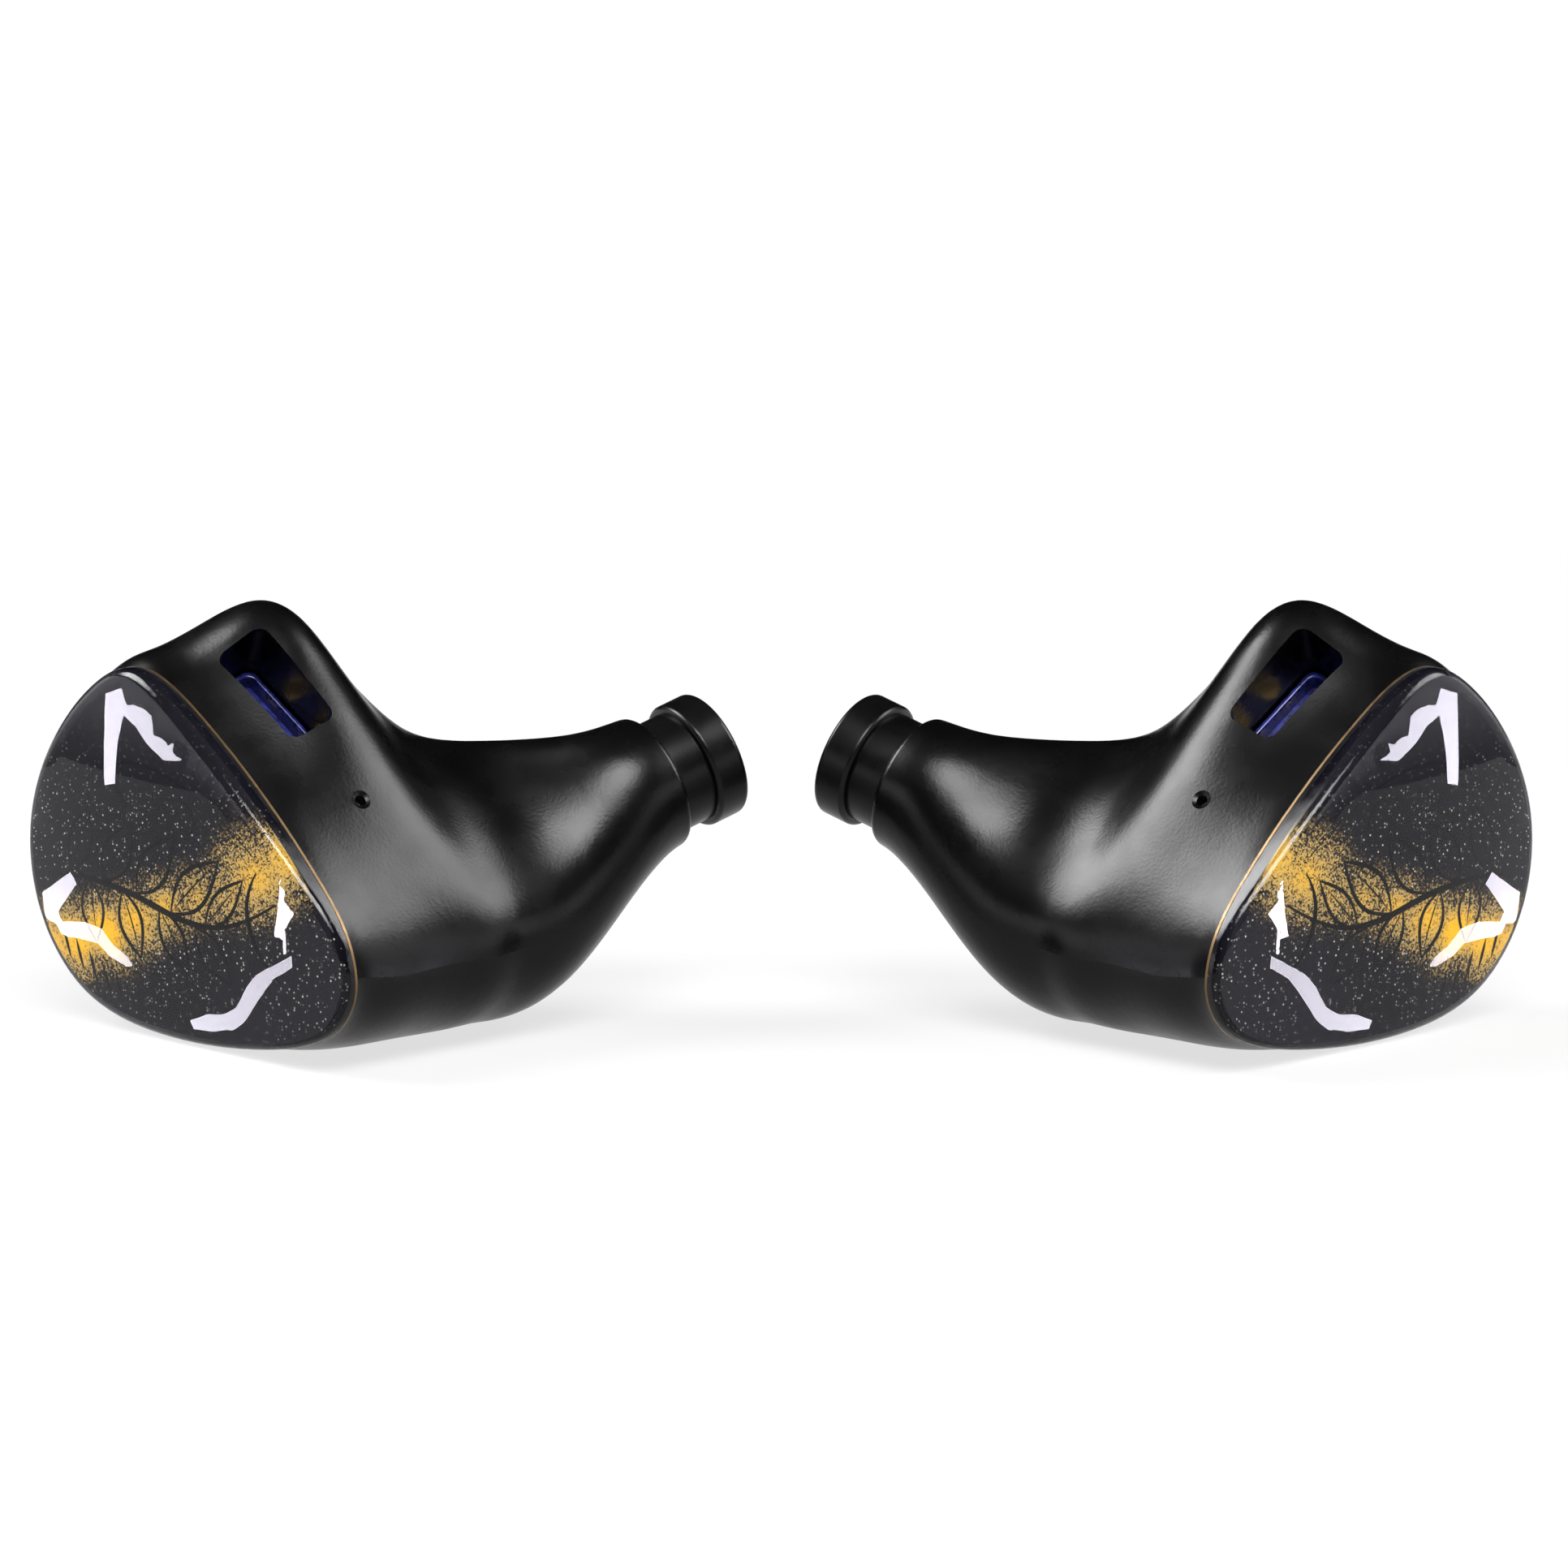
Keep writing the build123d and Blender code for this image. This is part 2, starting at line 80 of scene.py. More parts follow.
@dataclass(frozen=True)
class EarAxes:
    """An earpiece's own axes: X forward and Y up on its faceplate, Z inwards.

    Args:
        side: which earpiece.
        splay_deg: how far the faceplate is turned from the pair's long axis.
        lip_centre: middle of the nozzle's lip on these axes, in millimetres.
    """

    side: Side
    splay_deg: float = 47.0
    lip_centre: Point = (10.970, 3.0248, 23.0455)

    def turned(self) -> Matrix:
        """The axes as columns, with X mirrored on the right to stay right-handed.

        Returns:
            A matrix that only turns.
        """
        angle = math.radians(self.splay_deg)
        sign = self.side.value
        x_axis = Vector((-math.sin(angle), -sign * math.cos(angle), 0.0))
        z_axis = Vector((-sign * math.cos(angle), math.sin(angle), 0.0))
        return Matrix((x_axis, (0.0, 0.0, 1.0), z_axis)).transposed()

    def matrix(self) -> Matrix:
        """Work out where the axes stand, from the mount on the nozzle's lip.

        Returns:
            The matrix from these axes in millimetres to the pair's frame in metres.
        """
        scale = Matrix.Diagonal((self.side.value * MM, MM, MM, 1.0))
        turn = self.turned().to_4x4()
        lip = next(mount for mount in frame["record"]["mounts"]
                   if mount["name"] == f"{self.side.word}_nozzle_lip")
        origin = Vector(lip["pos_m"]) - (turn @ scale) @ Vector(self.lip_centre)
        return Matrix.Translation(origin) @ turn @ scale

    def inward(self) -> Vector:
        """Direction of Z in the pair's frame."""
        return self.matrix().to_3x3().col[2].normalized()


def bearing(azimuth_deg: float, elevation_deg: float = 0.0) -> Vector:
    """Direction from the pair.

    Args:
        azimuth_deg: angle round the pair, 0 at the camera's side, growing to +X.
        elevation_deg: angle above the floor.

    Returns:
        The direction, one long.
    """
    turn, rise = math.radians(azimuth_deg), math.radians(elevation_deg)
    flat = math.cos(rise)
    return Vector((math.sin(turn) * flat, -math.cos(turn) * flat, math.sin(rise)))


# ---- node materials
def scaled(colour: Colour, share: float) -> Colour:
    """A colour made lighter or darker."""
    return tuple(channel * share for channel in colour)


class Recipe:
    """Builds a node tree step by step, in a material, a group or a world."""

    def __init__(self, tree: NodeTree) -> None:
        """Start on an empty tree."""
        self.tree = tree
        self.tree.nodes.clear()

    def add(self, kind: str, settings: Optional[dict[str, Any]] = None, **inputs: Any) -> Node:
        """Add a node.

        Args:
            kind: the node's type, without its ShaderNode prefix.
            settings: the node's own properties.
            inputs: values or sockets by input name, with _ for a space, or by i and a number.

        Returns:
            The new node.
        """
        prefix = "" if kind.startswith("Node") else "ShaderNode"
        node = self.tree.nodes.new(prefix + kind)
        for name, value in (settings or {}).items():
            setattr(node, name, value)
        for name, value in inputs.items():
            numbered = name[0] == "i" and name[1:].isdigit()
            self.feed(node.inputs[int(name[1:]) if numbered else name.replace("_", " ")], value)
        return node

    def feed(self, socket: NodeSocket, value: Any) -> None:
        """Set a socket to a value, or link it from another socket.

        Args:
            socket: the input.
            value: the value or the output that feeds it.
        """
        if isinstance(value, NodeSocket):
            self.tree.links.new(value, socket)
        else:
            socket.default_value = value

    def math(self, operation: str, first: Any, second: Any = 0.0) -> NodeSocket:
        """Result of a Math node on two values or sockets."""
        return self.add("Math", {"operation": operation}, i0=first, i1=second).outputs[0]

    def times(self, first: Any, *others: Any) -> NodeSocket:
        """Multiply values or sockets.

        Args:
            first: the first factor.
            others: the other factors.

        Returns:
            Their product.
        """
        for other in others:
            first = self.math("MULTIPLY", first, other)
        return first

    def ramp(self, value: Any, low: float, high: float, start: float = 0.0,
             end: float = 1.0) -> NodeSocket:
        """Map a value's range smoothly to another range, clamped at both ends."""
        return self.add("MapRange", {"interpolation_type": "SMOOTHSTEP"}, i0=value, i1=low,
                        i2=high, i3=start, i4=end).outputs[0]

    def vary(self, tone: Any, start: float, end: float) -> NodeSocket:
        """Map a smooth noise to a range."""
        return self.ramp(tone, *NOISE_SPAN, start, end)

    def mix(self, share: Any, first: Any, second: Any) -> NodeSocket:
        """Blend two colours by a share from 0 to 1."""
        return self.add("Mix", {"data_type": "RGBA"}, i0=share, i6=self.rgba(first),
                        i7=self.rgba(second)).outputs[2]

    @staticmethod
    def rgba(value: Any) -> Any:
        """A colour with its alpha, or a socket as it is."""
        return (*value, 1.0) if isinstance(value, tuple) else value

    def here(self) -> NodeSocket:
        """The place on the object."""
        return self.add("TexCoord").outputs["Object"]

    def length(self, vector: Any) -> NodeSocket:
        """Length of a vector."""
        return self.add("VectorMath", {"operation": "LENGTH"}, i0=vector).outputs["Value"]

    def squareness(self, direction: Vector) -> NodeSocket:
        """Measure how square the surface is to a direction.

        Args:
            direction: the direction, one long.

        Returns:
            From 0 where the surface runs along the direction to 1 where it is square to it.
        """
        normal = self.add("NewGeometry").outputs["True Normal"]
        dot = self.add("VectorMath", {"operation": "DOT_PRODUCT"}, i0=normal, i1=direction)
        return self.math("ABSOLUTE", dot.outputs["Value"])

    def noise(self, vector: Any, scale: Any, detail: float = 2.0,
              roughness: float = 0.5) -> NodeSocket:
        """Smooth noise about one half."""
        return self.add("TexNoise", Vector=vector, Scale=scale, Detail=detail,
                        Roughness=roughness).outputs["Fac"]

    def bump(self, height: Any, strength: float, depth_mm: float,
             invert: bool = False) -> NodeSocket:
        """Normal of a surface raised by a height."""
        return self.add("Bump", {"invert": invert}, Strength=strength, Distance=depth_mm * MM,
                        Height=height).outputs[0]

    def group(self, tree: NodeTree, **inputs: Any) -> Node:
        """Place a node group."""
        return self.add("Group", {"node_tree": tree}, **inputs)

    def glow(self, colour: Colour, strength: Any) -> Node:
        """Light of a colour."""
        return self.add("Emission", Color=self.rgba(colour), Strength=strength)

    def finish(self, shader: Node) -> None:
        """Make a shader the material's surface."""
        self.add("OutputMaterial", Surface=shader.outputs[0])


def new_material(name: str) -> tuple[Material, Recipe]:
    """Make an empty node material.

    Args:
        name: the material's name.

    Returns:
        The material and the recipe that fills it.
    """
    material = bpy.data.materials.new(name)
    material.use_nodes = True
    return material, Recipe(material.node_tree)


def new_group(name: str, inputs: dict[str, str],
              outputs: dict[str, str]) -> tuple[NodeTree, Recipe, Node, Node]:
    """Make a shader node group.

    Args:
        name: the group's name.
        inputs: the kinds of its input sockets, by name.
        outputs: the kinds of its output sockets, by name.

    Returns:
        The tree, its recipe, its input node and its output node.
    """
    tree = bpy.data.node_groups.new(name, "ShaderNodeTree")
    for in_out, sockets in (("INPUT", inputs), ("OUTPUT", outputs)):
        for word, kind in sockets.items():
            tree.interface.new_socket(word, in_out=in_out, socket_type=f"NodeSocket{kind}")
    recipe = Recipe(tree)
    return tree, recipe, recipe.add("NodeGroupInput"), recipe.add("NodeGroupOutput")


class SharedEffects:
    """Node groups that several finishes use."""

    GRAIN_DETAIL, GRAIN_ROUGHNESS, TONE_DETAIL = 2.0, 0.55, 3.0
    # The tone's scale as a share of the grain's.
    TONE_SHARE = 0.07
    # A fleck fades in between these distances from its cell's middle.
    FLECK_EDGE = (0.45, 0.2)

    def __init__(self) -> None:
        """Build the groups."""
        self.grain = self._grain()
        self.flecks = self._flecks()

    def _grain(self) -> NodeTree:
        """Build the fine moulded grain: a height for bump and a tone that varies the gloss.

        Returns:
            The group's tree.
        """
        tree, recipe, given, result = new_group(
            "fine_grain", {"Vector": "Vector", "Scale": "Float"},
            {"Height": "Float", "Tone": "Float"})
        place, scale = given.outputs["Vector"], given.outputs["Scale"]
        fine = recipe.noise(place, scale, self.GRAIN_DETAIL, self.GRAIN_ROUGHNESS)
        coarse = recipe.noise(place, recipe.times(scale, self.TONE_SHARE), self.TONE_DETAIL)
        recipe.feed(result.inputs["Height"], fine)
        recipe.feed(result.inputs["Tone"], coarse)
        return tree

    def _flecks(self) -> NodeTree:
        """Build scattered pigment flecks: a mask, and a random tone for each fleck.

        Returns:
            The group's tree.
        """
        tree, recipe, given, result = new_group(
            "pigment_flecks", {"Vector": "Vector", "Scale": "Float", "Amount": "Float"},
            {"Mask": "Float", "Tone": "Float"})
        cells = recipe.add("TexVoronoi", Vector=given.outputs["Vector"],
                           Scale=given.outputs["Scale"])
        split = recipe.add("SeparateColor", i0=cells.outputs["Color"])
        chosen = recipe.math("LESS_THAN", split.outputs[0], given.outputs["Amount"])
        size = recipe.ramp(cells.outputs["Distance"], *self.FLECK_EDGE)
        recipe.feed(result.inputs["Mask"], recipe.times(chosen, size))
        recipe.feed(result.inputs["Tone"], split.outputs[1])
        return tree


EFFECTS = SharedEffects()


class Finish:
    """A finish of the pair's pieces. Each kind lays its own nodes."""

    def surface(self, recipe: Recipe) -> Node:
        """Lay the nodes and return the surface's shader."""
        raise NotImplementedError

    def material(self, name: str) -> Material:
        """Build a material of this finish.

        Args:
            name: the material's name.

        Returns:
            The material.
        """
        material, recipe = new_material(name)
        recipe.finish(self.surface(recipe))
        return material


@dataclass(frozen=True)
class MouldedSatin(Finish):
    """Satin moulded plastic with a fine grain.

    Args:
        colour: base colour.
        roughness: mean roughness.
        spread: how far the roughness strays from its mean.
        specular: specular level.
        grain_scale: grains in a metre.
        grain_depth_mm: how deep the grain is.
        lift: how much lighter the tops of the grain are.
        tilt: how strongly the grain turns the light.
    """

    colour: Colour
    roughness: float = 0.27
    spread: float = 0.03
    specular: float = 0.15
    grain_scale: float = 6000.0
    grain_depth_mm: float = 0.006
    lift: float = 2.0
    tilt: float = 1.0

    def surface(self, recipe: Recipe) -> Node:
        """Lay the nodes.

        Args:
            recipe: what builds the material's tree.

        Returns:
            The surface's shader.
        """
        grain = recipe.group(EFFECTS.grain, Vector=recipe.here(), Scale=self.grain_scale)
        height, tone = grain.outputs["Height"], grain.outputs["Tone"]
        lighter = scaled(self.colour, self.lift)
        return recipe.add(
            "BsdfPrincipled", Base_Color=recipe.mix(height, self.colour, lighter),
            Roughness=recipe.vary(tone, self.roughness - self.spread, self.roughness + self.spread),
            Normal=recipe.bump(height, self.tilt, self.grain_depth_mm),
            Specular_IOR_Level=self.specular)


@dataclass(frozen=True)
class ClearResin(Finish):
    """Clear cast resin, polished.

    Args:
        colour: tint of the resin.
        index: its refractive index.
        roughness: least and greatest roughness of the polish.
        polish_scale: scale of the polish's marks, in a metre.
        marks: noise values between which the polish grows rougher.
    """

    colour: Colour = (0.97, 0.98, 1.0)
    index: float = 1.25
    roughness: Pair = (0.01, 0.02)
    polish_scale: float = 900.0
    marks: Pair = (0.55, 0.75)

    def surface(self, recipe: Recipe) -> Node:
        """Lay the nodes. Lamps shine straight through, so that the plate below is lit.

        Args:
            recipe: what builds the material's tree.

        Returns:
            The surface's shader.
        """
        polish = recipe.noise(recipe.here(), self.polish_scale)
        shader = recipe.add("BsdfPrincipled", Base_Color=recipe.rgba(self.colour), IOR=self.index,
                            Roughness=recipe.ramp(polish, *self.marks, *self.roughness),
                            Transmission_Weight=1.0)
        open_way = recipe.add("BsdfTransparent", Color=recipe.rgba(self.colour))
        shadow = recipe.add("LightPath").outputs["Is Shadow Ray"]
        return recipe.add("MixShader", i0=shadow, i1=shader.outputs[0], i2=open_way.outputs[0])


@dataclass(frozen=True)
class BondedFace(Finish):
    """Inner face of the resin, where it is bonded to what lies below and so doesn't shine.

    Args:
        colour: what light keeps on its way through.
        cloud: tint of the bond's faint clouding.
        cloud_scale: scale of the clouding, in a metre.
    """

    colour: Colour = WHITE
    cloud: Colour = (0.985, 0.985, 0.99)
    cloud_scale: float = 700.0

    def surface(self, recipe: Recipe) -> Node:
        """Lay the nodes."""
        tint = recipe.mix(recipe.noise(recipe.here(), self.cloud_scale), self.colour, self.cloud)
        return recipe.add("BsdfTransparent", Color=tint)


@dataclass(frozen=True)
class MistedPlate(Finish):
    """Dark metal-flake plate with a gold mist sprayed across it. Lengths are in millimetres.

    Args:
        axes: the earpiece's axes.
        ground: colour of the plate.
        gold: colour of the mist where it is thick.
        gold_thin: colour of the mist where it thins out.
        fleck: colour of the pale flecks.
        clouding: how uneven the mist is.
        cloud_scale: clouds in a millimetre.
        spray: how much its drops differ.
        spray_scale: drops in a millimetre.
        cover: densities between which it comes to cover the plate.
        edge: thicknesses between which it begins.
        rich: thicknesses between which it turns to full gold.
        front: least squareness to the axes' Z of a face that takes it.
        fleck_scale: cells for flecks in a millimetre.
        fleck_amount: share of the cells that have a fleck.
        fades: for the top and the foot, two heights and the flecks' strength at each.
        roughness: least and greatest roughness.
        specular: specular level.
        spot_length: how much longer than wide the mist's spots are.
        spot_fall: how fast a spot thins out.
        spot_merge: how softly the spots run together.
        band: x, y, half width and strength of each spot.
    """

    axes: EarAxes
    ground: Colour = (0.003, 0.0028, 0.0052)
    gold: Colour = (0.66, 0.35, 0.004)
    gold_thin: Colour = (0.36, 0.24, 0.07)
    fleck: Colour = (0.5, 0.47, 0.4)
    clouding: float = 0.4
    cloud_scale: float = 0.8
    spray: float = 0.8
    spray_scale: float = 13.0
    cover: Pair = (0.25, 0.75)
    edge: Pair = (0.04, 0.3)
    rich: Pair = (0.45, 1.0)
    front: float = 0.7
    fleck_scale: float = 7.0
    fleck_amount: float = 0.22
    fades: tuple[Four, ...] = ((5.5, 0.0, 0.15, 1.0), (-8.5, -4.0, 0.3, 1.0))
    roughness: Pair = (0.4, 0.6)
    specular: float = 0.05
    spot_length: float = 1.35
    spot_fall: float = 0.8
    spot_merge: float = 0.12
    band: tuple[Four, ...] = (
        (-9.6, -5.4, 1.7, 0.9), (-7.4, -4.8, 1.6, 0.95), (-5.2, -4.1, 1.5, 1.0),
        (-3.0, -3.2, 1.4, 0.85), (-0.8, -2.3, 1.3, 0.75), (1.4, -1.6, 1.3, 0.65),
        (3.6, -1.1, 1.4, 0.6), (5.4, 0.0, 1.8, 0.75), (7.2, 1.0, 1.6, 0.75),
    )

    def surface(self, recipe: Recipe) -> Node:
        """Lay the nodes.

        Args:
            recipe: what builds the material's tree.

        Returns:
            The surface's shader.
        """
        axes = self.axes
        local = recipe.add("Mapping", {"vector_type": "TEXTURE"}, Vector=recipe.here(),
                           Location=axes.matrix().translation, Rotation=axes.turned().to_euler(),
                           Scale=(axes.side.value * MM, MM, MM)).outputs[0]
        across, up = recipe.add("SeparateXYZ", Vector=local).outputs[:2]
        mist = self._mist(recipe, across, up)
        drops = recipe.add("TexVoronoi", Vector=local, Scale=self.spray_scale)
        drop = recipe.add("SeparateColor", i0=drops.outputs["Color"]).outputs[0]
        spray = recipe.math("SUBTRACT", drop, NOISE_MEAN)
        cloud = recipe.math("SUBTRACT", recipe.noise(local, self.cloud_scale), NOISE_MEAN)
        density = recipe.math("ADD", mist, recipe.times(cloud, self.clouding))
        density = recipe.math("ADD", density, recipe.times(spray, self.spray))
        facing = recipe.math("GREATER_THAN", recipe.squareness(axes.inward()), self.front)
        cover = recipe.times(recipe.ramp(density, *self.cover), recipe.ramp(mist, *self.edge),
                             facing)
        flecks = recipe.group(EFFECTS.flecks, Vector=local, Scale=self.fleck_scale,
                              Amount=self.fleck_amount)
        strewn = recipe.times(*(recipe.ramp(up, *fade) for fade in self.fades))
        shown = recipe.times(flecks.outputs["Mask"], flecks.outputs["Tone"], strewn)
        gold = recipe.mix(recipe.ramp(mist, *self.rich), self.gold_thin, self.gold)
        colour = recipe.mix(cover, recipe.mix(shown, self.ground, self.fleck), gold)
        return recipe.add("BsdfPrincipled", Base_Color=colour,
                          Roughness=recipe.ramp(spray, -NOISE_MEAN, NOISE_MEAN, *self.roughness),
                          Specular_IOR_Level=self.specular)

    def _mist(self, recipe: Recipe, across: Any, up: Any) -> NodeSocket:
        """Work out how thick the mist is, as the most of soft spots along its line.

        Args:
            recipe: what builds the material's tree.
            across: place along the plate.
            up: height on the plate.

        Returns:
            The thickness, from 0 to about 1.
        """
        thickest: Any = 0.0
        for x, y, width, strength in self.band:
            dx = recipe.math("DIVIDE", recipe.math("SUBTRACT", across, x), width * self.spot_length)
            dy = recipe.math("DIVIDE", recipe.math("SUBTRACT", up, y), width)
            squared = recipe.math("ADD", recipe.times(dx, dx), recipe.times(dy, dy))
            fall = recipe.math("EXPONENT", recipe.times(squared, -self.spot_fall))
            thickest = recipe.add("Math", {"operation": "SMOOTH_MAX"},
                                  i0=recipe.times(fall, strength), i1=thickest,
                                  i2=self.spot_merge).outputs[0]
        return thickest


class MetalWork(Enum):
    """How a metal surface was made, with the grains that this leaves in a metre."""

    PLATED = 5000.0
    BRUSHED = 1600.0
    WOUND = 9000.0


@dataclass(frozen=True)
class Metal(Finish):
    """Bare or plated metal.

    Args:
        colour: reflected colour.
        roughness: mean roughness.
        work: how the surface was made.
        gloss: least and greatest roughness as shares of the mean.
        dull: brightness of the dullest parts as a share of the colour.
        grain_depth_mm: how deep the grain is.
        brushing: how much longer than wide brushed grains are.
        tilt: how strongly the grain turns the light.
    """

    colour: Colour
    roughness: float = 0.28
    work: MetalWork = MetalWork.PLATED
    gloss: Pair = (0.8, 1.25)
    dull: float = 0.8
    grain_depth_mm: float = 0.003
    brushing: float = 14.0
    tilt: float = 0.5

    def surface(self, recipe: Recipe) -> Node:
        """Lay the nodes.

        Args:
            recipe: what builds the material's tree.

        Returns:
            The surface's shader.
        """
        place = recipe.here()
        if self.work is MetalWork.BRUSHED:
            place = recipe.add("Mapping", Vector=place, Scale=(1.0, 1.0, self.brushing)).outputs[0]
        grain = recipe.group(EFFECTS.grain, Vector=place, Scale=self.work.value)
        height, tone = grain.outputs["Height"], grain.outputs["Tone"]
        low, high = (self.roughness * share for share in self.gloss)
        dull = scaled(self.colour, self.dull)
        return recipe.add("BsdfPrincipled", Base_Color=recipe.mix(tone, dull, self.colour),
                          Metallic=1.0, Roughness=recipe.vary(tone, low, high),
                          Normal=recipe.bump(height, self.tilt, self.grain_depth_mm))


@dataclass(frozen=True)
class SeamLacquer(Finish):
    """Gold-brown lacquer line that shows at the joint between shell and dome.

    Args:
        axes: the earpiece's axes.
        colour: colour of the line.
        under: colour of the face that the dome covers.
        dull: brightness of its dullest parts as a share of the colour.
        covered: squareness to the axes' Z between which the covered face begins.
        metallic: how metallic the line is.
        roughness: least and greatest roughness.
        grain_scale: grains in a metre.
    """

    axes: EarAxes
    colour: Colour = (0.15, 0.09, 0.035)
    under: Colour = (0.010, 0.010, 0.011)
    dull: float = 0.55
    covered: Pair = (0.4, 0.7)
    metallic: float = 0.7
    roughness: Pair = (0.3, 0.45)
    grain_scale: float = 4000.0

    def surface(self, recipe: Recipe) -> Node:
        """Lay the nodes: gold-brown outside and dark where it faces the dome.

        Args:
            recipe: what builds the material's tree.

        Returns:
            The surface's shader.
        """
        flat = recipe.ramp(recipe.squareness(self.axes.inward()), *self.covered)
        grain = recipe.group(EFFECTS.grain, Vector=recipe.here(), Scale=self.grain_scale)
        lit = recipe.mix(grain.outputs["Tone"], scaled(self.colour, self.dull), self.colour)
        return recipe.add(
            "BsdfPrincipled", Base_Color=recipe.mix(flat, lit, self.under),
            Metallic=recipe.times(recipe.math("SUBTRACT", 1.0, flat), self.metallic),
            Roughness=recipe.vary(grain.outputs["Height"], *self.roughness))


@dataclass(frozen=True)
class DeepPlastic(Finish):
    """Translucent dark moulding, slightly mottled.

    Args:
        colour: base colour.
        lighter: colour of the mottling.
        roughness: least roughness.
        specular: specular level.
        spread: how much rougher the mottled parts are.
        mottle: scale in a metre, detail and roughness of the mottling.
        light_from: mottling values between which the lighter colour begins.
        relief_mm: how deep the mottling is.
        tilt: how strongly it turns the light.
    """

    colour: Colour
    lighter: Colour
    roughness: float = 0.24
    specular: float = 0.5
    spread: float = 0.15
    mottle: Point = (2300.0, 4.0, 0.65)
    light_from: Pair = (0.4, 0.75)
    relief_mm: float = 0.01
    tilt: float = 0.6

    def surface(self, recipe: Recipe) -> Node:
        """Lay the nodes.

        Args:
            recipe: what builds the material's tree.

        Returns:
            The surface's shader.
        """
        mottle = recipe.noise(recipe.here(), *self.mottle)
        lighten = recipe.ramp(mottle, *self.light_from)
        return recipe.add(
            "BsdfPrincipled", Base_Color=recipe.mix(lighten, self.colour, self.lighter),
            Roughness=recipe.vary(mottle, self.roughness, self.roughness + self.spread),
            Normal=recipe.bump(mottle, self.tilt, self.relief_mm), Specular_IOR_Level=self.specular)


@dataclass(frozen=True)
class SoftStuff(Finish):
    """Cloth, foam, rubber, paper or sleeve: a dull stuff with its own texture.

    Args:
        colour: base colour.
        lighter: colour of the raised parts.
        scale: threads or cells in a metre.
        roughness: greatest roughness.
        spread: how much less rough the raised parts are.
        slope: distances from a cell's middle between which it falls away.
        relief_mm: how deep the texture is.
        tilt: how strongly it turns the light.
    """

    colour: Colour
    lighter: Colour
    scale: float
    roughness: float = 0.8
    spread: float = 0.08
    slope: Pair = (0.1, 0.6)
    relief_mm: float = 0.01
    tilt: float = 0.6

    def surface(self, recipe: Recipe) -> Node:
        """Lay the nodes.

        Args:
            recipe: what builds the material's tree.

        Returns:
            The surface's shader.
        """
        cells = recipe.add("TexVoronoi", {"feature": "SMOOTH_F1"}, Vector=recipe.here(),
                           Scale=self.scale)
        fallen = recipe.ramp(cells.outputs["Distance"], *self.slope)
        return recipe.add(
            "BsdfPrincipled", Base_Color=recipe.mix(fallen, self.lighter, self.colour),
            Roughness=recipe.ramp(fallen, 0.0, 1.0, self.roughness - self.spread, self.roughness),
            Normal=recipe.bump(fallen, self.tilt, self.relief_mm, invert=True))


# ---- mesh work
def deselect_all() -> None:
    """Leave object mode with nothing selected."""
    if bpy.context.object and bpy.context.object.mode != "OBJECT":
        bpy.ops.object.mode_set(mode="OBJECT")
    bpy.ops.object.select_all(action="DESELECT")


def put(name: str, data: Any) -> Object:
    """Make an object of its data and put it in the scene.

    Args:
        name: the object's name.
        data: its mesh, camera or lamp.

    Returns:
        The object.
    """
    thing = bpy.data.objects.new(name, data)
    bpy.context.scene.collection.objects.link(thing)
    return thing


def dress(piece: Object, *materials: Material) -> None:
    """Give a piece its materials.

    Args:
        piece: the piece.
        materials: its materials, in the order of its faces' indices.
    """
    piece.data.materials.clear()
    for material in materials:
        piece.data.materials.append(material)


def mend(piece: Object, smooth_deg: float, copied: bool = False) -> None:
    """Merge a piece's points and shade it smooth.

    Args:
        piece: the piece.
        smooth_deg: edges sharper than this stay sharp.
        copied: whether it is a CAD node's mesh, whose faces point the right way already.
    """
    deselect_all()
    piece.select_set(True)
    bpy.context.view_layer.objects.active = piece
    bpy.ops.object.mode_set(mode="EDIT")
    bpy.ops.mesh.select_all(action="SELECT")
    bpy.ops.mesh.remove_doubles(threshold=MERGE)
    if copied:
        bpy.ops.mesh.customdata_custom_splitnormals_clear()
    else:
        bpy.ops.mesh.normals_make_consistent(inside=False)
    bpy.ops.object.mode_set(mode="OBJECT")
    bpy.ops.object.shade_smooth_by_angle(angle=math.radians(smooth_deg))


# ---- the faceplate's relief
@dataclass(frozen=True)
class Stroke:
    """One raised line of the faceplate's relief.

    Args:
        points: its points on the plate, in millimetres.
        width_mm: its width at its thickest.
        taper: share of that width left at both ends.
    """

    points: tuple[Pair, ...]
    width_mm: float = 0.12
    taper: float = 0.25


@dataclass(frozen=True)
class Leaf:
    """A leaf on the stem.

    Args:
        base: where it leaves the stem.
        tip: its point.
        belly: half its breadth as a share of its length.
        width_mm: width of its outline.
    """

    base: Pair
    tip: Pair
    belly: float
    width_mm: float

    # Points of one side and of the rib, as shares of the length and of the belly.
    SIDE = ((0.0, 0.0), (0.18, 0.62), (0.42, 1.0), (0.7, 0.7), (0.9, 0.22), (1.0, 0.0))
    RIB = ((0.05, 0.0), (0.4, 0.12), (0.8, 0.04))
    RIB_WIDTH = 0.7
    SIDE_TAPER, RIB_TAPER = 0.4, 0.2

    def strokes(self) -> list[Stroke]:
        """Lay out the leaf's two sides and its rib.

        Returns:
            The three strokes.
        """
        foot = Vector(self.base)
        along = Vector(self.tip) - foot
        out = Vector((-along.y, along.x)) * self.belly
        made = []
        for spots, sign, width, taper in (
                (self.SIDE, 1.0, self.width_mm, self.SIDE_TAPER),
                (self.SIDE, -1.0, self.width_mm, self.SIDE_TAPER),
                (self.RIB, 1.0, self.width_mm * self.RIB_WIDTH, self.RIB_TAPER)):
            points = (foot + along * share + out * sign * bulge for share, bulge in spots)
            made.append(Stroke(tuple(tuple(point) for point in points), width, taper))
        return made


